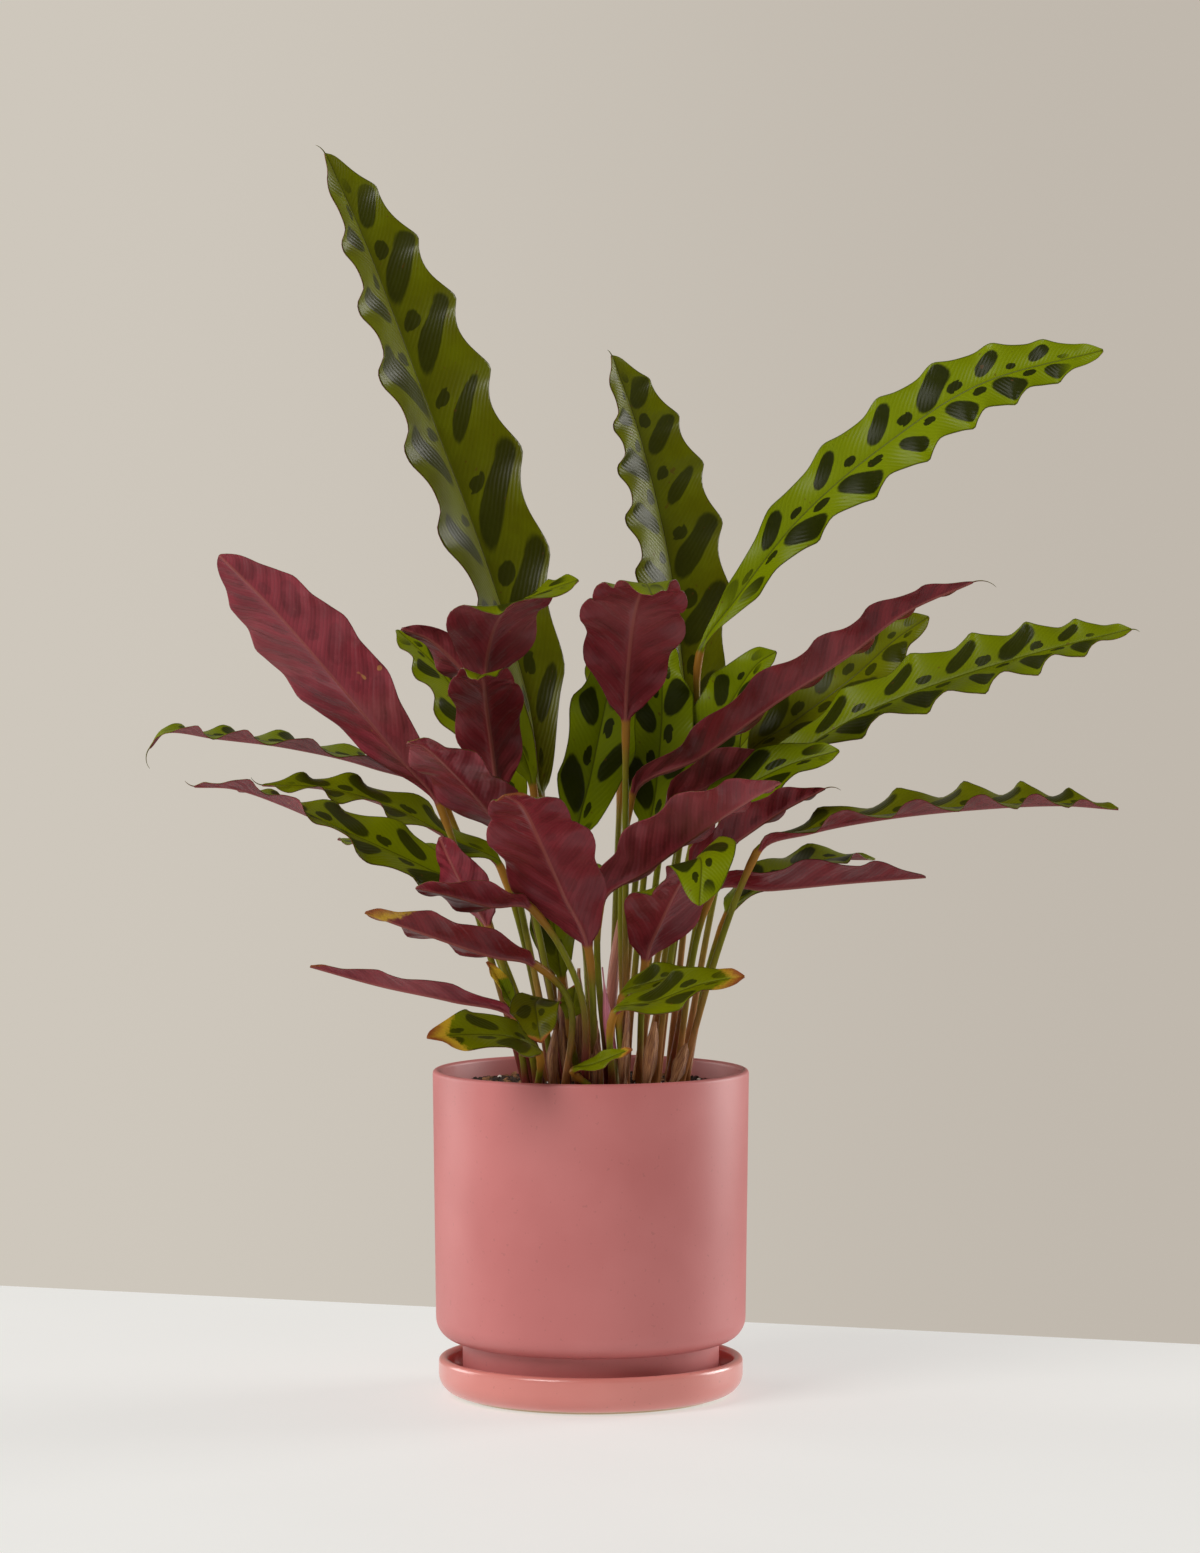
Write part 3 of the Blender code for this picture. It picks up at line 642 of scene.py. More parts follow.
# %% [markdown]
# ## How a leaf is built
# One leaf is one closed skin. Rings of points run up the stem as small circles,
# swell at the knee, and then open into the thin section of the blade. A leaf could
# be a flat card with a picture on it, but a skin with real thickness looks right
# from the side and from below. The same rule gives the outline, its waves and its
# fold for every leaf, so a leaf is set by a few places along its midrib. A blade is
# arched, carries a rib below and a groove above, is thinner at its edge than at its
# rib, and its waves are calm where it is narrow.

# %% Leaf rule: sizes
STEM_RADIUS = 0.0017
STEM_FLARE = 0.35
STEM_STEP = 0.007
KNEE_RADIUS = 0.0022
KNEE_LENGTH = 0.016
OPENING_LENGTH = 0.010
KNEE_FADE = 0.004
HOLE_DEPTH = 0.012
BLADE_THICKNESS = 0.0007
BLADE_ARCH = 0.10
RIB_DEPTH = 0.0013
RIB_WIDTH = 0.0011
GROOVE_DEPTH = 0.35 * MM
GROOVE_WIDTH = 0.0009
EDGE_SCALLOP = 0.08
EDGE_CRINKLE = 0.10
CALM_BASE = 1.3
RIB_SHARE = 0.62
EDGE_THINNING = 0.26
WAVE_CROWD = 0.3
WAVE_LEAN = 0.35
USUAL_RIPPLE = 3.0
USUAL_WAVE = 34
LEFT_PHASE = 2 * math.pi / 3
OUTLINE_POWER = 0.66
TIP_HALF_WIDTH = 0.0007
TAIL_RADIUS = 0.00035
TAIL_STEPS = 14
SPAN_STEPS = 16
ROWS_PER_WAVE = 14
HALF_COLUMNS = [0.035, 0.09, 0.2, 0.33, 0.46, 0.59, 0.71, 0.82, 0.91, 0.97, 1.0]
COLUMNS = np.array([-v for v in reversed(HALF_COLUMNS)] + [0.0] + HALF_COLUMNS)

PLAIN_TONE = (0.35, 0.4, 0)

Leaf = namedtuple("Leaf", "name root way midrib half face tip_face fold ripple belly wave tone tail")


def leaf(name, root, midrib, half, face, tip_face=None, fold=16, ripple=USUAL_RIPPLE, belly=0.48,
         wave=USUAL_WAVE, way=(), tone=PLAIN_TONE, tail=None):
    """One entry of the plant, with what is usual filled in."""
    return Leaf(name, root, way, midrib, half, face, tip_face or face, fold, ripple, belly, wave, tone, tail)


print("columns across a blade:", len(COLUMNS))

# %% Leaf rule: the path


def unit(vector):
    return vector / np.linalg.norm(vector)


def smooth_path(points):
    """A smooth curve through the points, with SPAN_STEPS steps between two of them."""
    points = np.asarray(points, dtype=float)
    ends = np.vstack([2 * points[0] - points[1], points, 2 * points[-1] - points[-2]])
    curve = []
    for index in range(1, len(ends) - 2):
        before, start, end, after = ends[index - 1:index + 3]
        span = np.linalg.norm(end - start)
        slope_in = (end - before) / (np.linalg.norm(start - before) + span) * span
        slope_out = (after - start) / (np.linalg.norm(after - end) + span) * span
        for t in np.linspace(0, 1, SPAN_STEPS, endpoint=False):
            curve.append((2 * t ** 3 - 3 * t ** 2 + 1) * start + (t ** 3 - 2 * t ** 2 + t) * slope_in
                         + (3 * t ** 2 - 2 * t ** 3) * end + (t ** 3 - t ** 2) * slope_out)
    curve.append(points[-1])
    return np.array(curve)


def spaced(curve, shares):
    """Points at the given shares of a curve's length, and its directions there."""
    steps = np.linalg.norm(np.diff(curve, axis=0), axis=1)
    length = np.concatenate([[0], np.cumsum(steps)])
    slopes = np.gradient(curve, length, axis=0)
    at = np.asarray(shares) * length[-1]
    places = np.stack([np.interp(at, length, curve[:, axis]) for axis in range(3)], axis=1)
    ways = np.stack([np.interp(at, length, slopes[:, axis]) for axis in range(3)], axis=1)
    return places, [unit(way) for way in ways]


def smoothstep(value):
    value = min(max(value, 0.0), 1.0)
    return value * value * (3 - 2 * value)


def path_length(curve):
    return np.linalg.norm(np.diff(curve, axis=0), axis=1).sum()


def stem_foot(entry):
    """Where a stem starts in its hole in the soil, and where it has left it."""
    foot = np.array([*entry.root, 0]) * MM
    return foot + (0, 0, SOIL_TOP - HOLE_DEPTH + GAP), foot + (0, 0, SOIL_TOP + 2 * SOIL_CROWN)


def stem_and_blade(entry):
    """The foot of a leaf and the two stretches of its path, in metres: stem, midrib."""
    low, out = stem_foot(entry)
    rest = np.array([*entry.way, *entry.midrib]) * MM
    curve = smooth_path([low, out, *rest])
    first = SPAN_STEPS * (len(entry.way) + 2)
    return low, curve[SPAN_STEPS:first + 1], curve[first:]


def leaf_frames(entry, blade_shares):
    """The rings of the stem, the share at which the knee starts, and the blade's rings.

    Each ring has its place, side and normal, and a stem's ring its share as well.
    """
    low, stem, blade = stem_and_blade(entry)
    places, ways = spaced(blade, blade_shares)
    first, last = (unit(np.array(looks, float)) for looks in (entry.face, entry.tip_face))
    frames = []
    for share, place, way in zip(blade_shares, places, ways):
        blend = smoothstep(share)
        looks = first * (1 - blend) + last * blend
        normal = unit(looks - way * looks.dot(way))
        frames.append((place, np.cross(way, normal), normal))
    side = frames[0][1]
    steps = max(4, round(path_length(stem) / STEM_STEP))
    stem_shares = np.linspace(0, 1, steps + 1)
    stem_places, stem_ways = spaced(stem, stem_shares)
    stem_frames = []
    for share, place, way in reversed(list(zip(stem_shares, stem_places, stem_ways))):
        side = unit(side - way * side.dot(way))
        stem_frames.append((share, place, side, np.cross(side, way)))
    stem_frames = [frame for frame in reversed(stem_frames) if frame[0] < 1]
    _, _, foot_side, foot_normal = stem_frames[0]
    stem_frames.insert(0, (0, low, foot_side, foot_normal))
    knee = 1 - min(0.5, KNEE_LENGTH / path_length(stem))
    return stem_frames, knee, frames


print("path rule ready")

# %% Leaf rule: the sections


def wave_count(blade, wave):
    """How many waves run along the edge of a blade with this midrib."""
    return max(2, round(path_length(blade) / (wave * MM)))


def waves_passed(share, waves):
    """Waves passed from the base at a share of the length: they crowd to the tip."""
    return waves * share * (1 - WAVE_CROWD + WAVE_CROWD * share ** 2)


def wave_angle(share, waves, phase):
    """Where on its wave the edge is, in radians: each wave leans to the tip."""
    angle = 2 * np.pi * waves_passed(share, waves) + phase
    return angle + WAVE_LEAN * np.sin(angle)


def row_shares(waves):
    """Shares of the blade's length that lie evenly on its waves."""
    tries = np.linspace(0, 1, 400)
    return np.interp(np.linspace(0, waves, ROWS_PER_WAVE * waves + 1), waves_passed(tries, waves), tries)


def half_width(entry, share, angle):
    """Half the blade's width at a share of its length, where its wave is at angle."""
    rounding = math.log(0.5) / math.log(entry.belly)
    outline = max(math.sin(math.pi * share ** rounding), 0) ** OUTLINE_POWER
    scallop = EDGE_SCALLOP * entry.ripple / USUAL_RIPPLE * np.cos(angle)
    return np.maximum(entry.half * MM * outline * (1 + scallop), TIP_HALF_WIDTH)


def circle_ring(place, side, normal, radius):
    """A round section with the same number of corners as the blade's section."""
    count = len(COLUMNS) + 1
    angles = np.pi * (1 - (np.arange(len(COLUMNS)) + 1) / count)
    angles = np.concatenate([angles, [0.0], -angles[::-1], [np.pi]])
    return place + radius * (np.cos(angles)[:, None] * side + np.sin(angles)[:, None] * normal)


def blade_ring(entry, share, waves, frame):
    """The thin section of a blade: upper side, right edge, lower side, left edge.

    v is a place across it, from -1 at the left edge to 1 at the right.
    """
    place, side, normal = frame
    v = COLUMNS
    turn = np.where(v > 0, 1.0, -1.0)
    angle = wave_angle(share, waves, np.where(v > 0, 0, LEFT_PHASE))
    width = half_width(entry, share, angle)
    calm = np.minimum(1, CALM_BASE * width / (entry.half * MM))
    small = EDGE_CRINKLE * np.sin(3 * angle + 1.1 * turn) * np.abs(v) ** 3
    wave = entry.ripple * MM * calm * (v * v * np.sin(angle) + small)
    rise = wave - BLADE_ARCH * width * v * v
    lean = np.where(v == 0, 0, math.radians(entry.fold))
    along = np.cos(lean)[:, None] * side * turn[:, None] + np.sin(lean)[:, None] * normal
    up = np.cos(lean)[:, None] * normal - (np.sin(lean) * turn)[:, None] * side
    across = np.abs(v) * width
    middle = place + along * across[:, None] + up * rise[:, None]
    thick = BLADE_THICKNESS * (RIB_SHARE - EDGE_THINNING * np.abs(v))
    rib = RIB_DEPTH * (1 - 0.75 * share) * np.exp(-(across / RIB_WIDTH) ** 2)
    groove = GROOVE_DEPTH * (1 - 0.6 * share) * np.exp(-(across / GROOVE_WIDTH) ** 2)
    upper = middle + up * (thick - groove)[:, None]
    lower = middle - up * (thick + rib)[:, None]
    out = 0.3 * thick[-1]
    right = middle[-1] + along[-1] * out
    left = middle[0] + along[0] * out
    return np.concatenate([upper, [right], lower[::-1], [left]]), width


def curl_rings(frame, curl, length):
    """A fine tail that curls on from the tip, as small circles."""
    place, side, normal = frame
    way = np.cross(normal, side)
    bend = math.radians(curl) / TAIL_STEPS
    rings = []
    for step in range(1, TAIL_STEPS + 1):
        before = way
        way = before * math.cos(bend) - normal * math.sin(bend)
        normal = normal * math.cos(bend) + before * math.sin(bend)
        place = place + way * length / TAIL_STEPS
        rings.append(circle_ring(place, side, normal, TAIL_RADIUS * (1 - 0.75 * step / TAIL_STEPS)))
    return rings


print("points in a ring:", len(circle_ring(np.zeros(3), np.zeros(3), np.zeros(3), 1.0)))

# %% [markdown]
# ### What the skin carries
# The pattern has to follow the blade, so every point keeps where it is on the leaf
# as three small attributes: how many waves it has passed and how far it is from the
# midrib, which side it is on and how far up the stem, and the leaf's own tone.

# %% Leaf rule: the skin
RING_ACROSS = np.concatenate([COLUMNS, [1.0], COLUMNS[::-1], [-1.0]])
RING_UPPER = np.repeat([1.0, 0.5, 0.0, 0.5], [len(COLUMNS), 1, len(COLUMNS), 1])


def ring_marks(passed, share, climb, width, tone):
    """The attribute values of one ring, in the order of its points."""
    each = np.ones(len(RING_ACROSS))
    pattern = np.stack([passed * each, RING_ACROSS, share * each], axis=1)
    place = np.stack([RING_UPPER, climb * each, width * each], axis=1)
    return pattern, place, np.tile(tone, (len(each), 1))


def joined_rings(rings):
    """The points of rings of equal size, and the faces of the closed skin over them."""
    size = len(rings[0])
    faces = []
    for row in range(len(rings) - 1):
        a, b = row * size, (row + 1) * size
        faces += [(a + i, b + i, b + (i + 1) % size, a + (i + 1) % size) for i in range(size)]
    faces.append(list(range(size)))
    faces.append([(len(rings) - 1) * size + i for i in reversed(range(size))])
    return np.concatenate(rings), faces


def skin(entry):
    """Points, faces and attribute values of one leaf with its stem."""
    midrib = stem_and_blade(entry)[-1]
    length = path_length(midrib)
    waves = wave_count(midrib, entry.wave)
    shares = row_shares(waves)
    stem_frames, knee, frames = leaf_frames(entry, shares)
    rings, marks = [], []
    for share, place, side, normal in stem_frames:
        swell = smoothstep((share - knee) / (1 - knee) * 3)
        flare = 1 + STEM_FLARE * (1 - smoothstep(share * 4))
        radius = STEM_RADIUS * flare + (KNEE_RADIUS - STEM_RADIUS) * swell
        rings.append(circle_ring(place, side, normal, radius))
        climb = share / knee if share < knee else 1 + 0.5 * (share - knee) / (1 - knee)
        marks.append(ring_marks(0, 0, climb, 1, entry.tone))
    for share, frame in zip(shares, frames):
        section, width = blade_ring(entry, share, waves, frame)
        opening = smoothstep(share * length / OPENING_LENGTH)
        if opening < 1:
            section = circle_ring(*frame, KNEE_RADIUS) * (1 - opening) + section * opening
        rings.append(section)
        width = np.concatenate([width, [width[-1]], width[::-1], [width[0]]]) / MM
        climb = 1.5 + 0.5 * smoothstep(share * length / KNEE_FADE)
        marks.append(ring_marks(waves_passed(share, waves), share, climb, width, entry.tone))
    if entry.tail:
        rings += curl_rings(frames[-1], *entry.tail)
        marks += [marks[-1]] * TAIL_STEPS
    return *joined_rings(rings), [np.concatenate(column) for column in zip(*marks)]


def keep_marks(piece, name, numbers):
    """Stores three numbers for each point of a piece."""
    store = piece.data.attributes.new(name, "FLOAT_VECTOR", "POINT")
    store.data.foreach_set("vector", numbers.astype(np.float32).ravel())


def leaf_piece(entry, node, finish):
    """A finished leaf object, which stands for a solid where a node is named."""
    points, faces, values = skin(entry)
    piece = piece_from("leaf_" + entry.name, points, faces, finish)
    for name, numbers in zip(("pattern", "place", "tone"), values):
        keep_marks(piece, name, numbers)
    piece.data.shade_smooth()
    if node:
        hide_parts(node)
    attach(piece, "root")


print("skin rule ready")

# %% [markdown]
# ## Leaf finish
# Above, the blade is a bright yellow green with a dark ellipse for every wave of the
# edge and a small spot between two of them, on both sides of the midrib. Below it is
# wine red, with the same spots faint in it. The spots could be painted on a picture,
# but here each one comes from a sum on the leaf's own coordinates, so they follow
# the waves and never blur. The finish starts with what it reads: the waves passed,
# the place across the blade from -1 to 1, the width in millimetres and the tones.

# %% Where on the leaf
leaf_green = Finish("leaf_finish", {"Specular IOR Level": 0.09, "Coat Roughness": 0.24})
passed, across, share = leaf_green.attribute("pattern")
upper, climb, width = leaf_green.attribute("place")
# Painted light in the tones: the first also darkens leaves that stand in shade to olive, the second also
# makes lit undersides pinker and paler.
olive_and_shade, pink_and_light, scorch = leaf_green.attribute("tone")
where = leaf_green.place()
soft = leaf_green.noise(where, 55.0, 3.0)
fine = leaf_green.noise(where, 420.0, 3.0, 0.6)
out = across.math("ABSOLUTE")
left = across.math("LESS_THAN", 0.0)
from_rib = out * width
from_edge = (1 - out) * width
small_leaf = width.band(4.0, 12.0)
print("nodes that read the leaf:", len(leaf_green.tree.nodes))

# %% [markdown]
# ### Veins and spots
# Veins are closely set, and lean to the tip as they near the edge. An ellipse lies
# along them and ends at a bump of the edge, and a number drawn for each wave makes
# one ellipse a little larger than the next.

# %% Veins and spots
VEINS_PER_WAVE = 11
FOLDS_PER_WAVE = 2.6
VEIN_LEAN = 0.025
VEIN_BOW = 0.15
ELLIPSE_PLACE = 0.50
SPOT_PLACE = 0.24


def ripples(way, per_wave):
    """A sine along the way of the veins, a little broken."""
    return ((way * per_wave + (soft - 0.5) * 0.9) * (2 * math.pi)).math("SINE")


def ellipse(across, along, wide, long):
    """1 inside an ellipse and 0 outside it, with a narrow soft edge."""
    distance = (across / wide) ** 2 + (along / long) ** 2
    return distance.band(0.80, 1.12, 1.0, 0.0)


lean = passed + left / 3 - from_rib * VEIN_LEAN
vein_way = lean - out * out * VEIN_BOW
vein = ripples(vein_way, VEINS_PER_WAVE)

cell = lean + width * 0.020 + (soft - 0.5) * 0.14 + vein * 0.004
number = (cell + 0.5).math("FLOOR") + left * 57
grow_by = leaf_green.value("TexWhiteNoise", {"noise_dimensions": "1D"}, {"W": number}) * 0.5 + 0.82
near = (cell + 0.5).math("FRACT") - 0.5
between = cell.math("FRACT") - 0.5 + (out - SPOT_PLACE) * width * 0.018
large = ellipse(near, out - ELLIPSE_PLACE, grow_by * 0.25, grow_by * 0.36)
spot = ellipse(between, out - SPOT_PLACE, grow_by * 0.105, grow_by * 0.125)
dark = large.math("MAXIMUM", spot) * small_leaf * share.band(0.98, 0.90)
print("nodes with the spots:", len(leaf_green.tree.nodes))

# %% [markdown]
# ### Upper side and underside
# Each side is one colour under a few others, which are laid on through masks: the
# dark spots, the brown edge and the midrib above, and below broad pale patches of
# painted sheen, the veins and the pale ridge of the midrib.

# %% Upper side and underside
# Painted shade: the olive end of this green also darkens leaves that stand in shade.
green = leaf_green.layers(leaf_green.blend(olive_and_shade, linear(124, 141, 1), linear(90, 88, 1)),
                          (soft.band(0.3, 0.75) * 0.3, (128, 140, 6)),
                          (vein.band(0.2, 1.0) * 0.06, (60, 84, 4)))
dark_green = leaf_green.blend(fine, linear(21, 25, 3), linear(38, 41, 6))
edge = from_edge.band(0.1, 0.8, 1.0, 0.0) * small_leaf
above = leaf_green.layers(leaf_green.blend(dark * (0.98 - olive_and_shade * 0.25), green, dark_green),
                          (edge * 0.6, (44, 40, 8)),
                          (from_rib.band(0.25, 0.7, 1.0, 0.0) * 0.55, (52, 50, 8)))

# Painted sheen: broad pale pink patches on the underside, stronger on pinker leaves, stand in for soft
# highlights.
painted_sheen = leaf_green.noise(where, 17.0, 2.0).band(0.45, 0.75) * (pink_and_light * 0.5 + 0.1)
# Painted light: the pink end of this red also brightens undersides that face the light.
below = leaf_green.layers(leaf_green.blend(pink_and_light, linear(104, 25, 27), linear(142, 50, 62)),
                          (soft.band(0.3, 0.7) * 0.35, (82, 22, 26)),
                          (vein.band(0.7, 1.0) * 0.22, (52, 14, 20)),
                          (dark * 0.22, (50, 14, 20)),
                          (painted_sheen, (158, 88, 90)),
                          (fine.band(0.62, 0.75) * 0.25, (150, 80, 78)),
                          (from_rib.band(0.4, 1.1, 1.0, 0.0) * 0.4, (160, 96, 84)))
print("nodes with both sides:", len(leaf_green.tree.nodes))

# %% [markdown]
# ### Age and stem
# Old leaves are scorched at the tip, with brown specks above and tan scars below.
# The stem is brown or red at its foot, then green with streaks, and its knee is tan.

# %% Age and stem
SCORCH_REACH = 0.42

tip_way = share + (fine - 0.5) * 0.12 + (out - 0.5) * 0.10
burnt = tip_way.band(1.0 - scorch * SCORCH_REACH, 1.06 - scorch * SCORCH_REACH) * scorch.band(0.02, 0.10)
burn_tone = leaf_green.blend(tip_way.band(0.80, 1.0), linear(196, 160, 40), linear(138, 74, 34))
specks = leaf_green.noise(where, 260.0, 1.0, 0.4).band(0.745, 0.775)
scars = leaf_green.noise(where, 105.0, 1.0, 0.4).band(0.755, 0.775)
blade = leaf_green.blend(upper.math("GREATER_THAN", 0.5), below, above)
blade = leaf_green.layers(leaf_green.blend(burnt, blade, burn_tone),
                          (specks * 0.5 * upper, (96, 62, 22)),
                          (scars * 0.8 * (1.0 - upper) * pink_and_light.band(0.6, 0.8), (184, 128, 72)))

drawn_out = leaf_green.value("VectorMath", {"operation": "MULTIPLY"}, {0: where, 1: (1, 1, 0.15)})
streaks = leaf_green.noise(drawn_out, 700.0).band(0.4, 0.7)
stem = leaf_green.layers(leaf_green.blend(pink_and_light.band(0.3, 0.6), linear(178, 120, 70), linear(108, 40, 38)),
                         (climb.band(0.10, 0.70), (116, 116, 26)),
                         (streaks * 0.4, (92, 82, 34)),
                         (climb.band(0.85, 1.2), (150, 104, 38)))
leaf_green.send(Base_Color=leaf_green.blend(climb.band(1.55, 1.95), stem, blade))
print("nodes with the stem:", len(leaf_green.tree.nodes))

# %% [markdown]
# ### Sheen and relief
# The upper side has fine pleats along its veins. The underside is folded more
# broadly between them, and has a faint waxy coat.

# %% Sheen and relief
LEAF_RELIEF = 0.00018

on_blade = climb.band(1.7, 2.0)
lower = (1.0 - upper) * on_blade
pleat = vein * 0.5 * out.band(0.0, 0.15) * on_blade
folds = ripples(vein_way, FOLDS_PER_WAVE) * out.band(0.05, 0.3) * lower
leaf_green.send(Roughness=0.27 + fine * 0.10 + burnt * 0.2, Coat_Weight=lower * 0.24)
leaf_green.relief(pleat * (0.5 - upper * 0.15) + fine * 0.08 + folds * 2.4, LEAF_RELIEF)
print("leaf finish nodes:", len(leaf_green.tree.nodes))
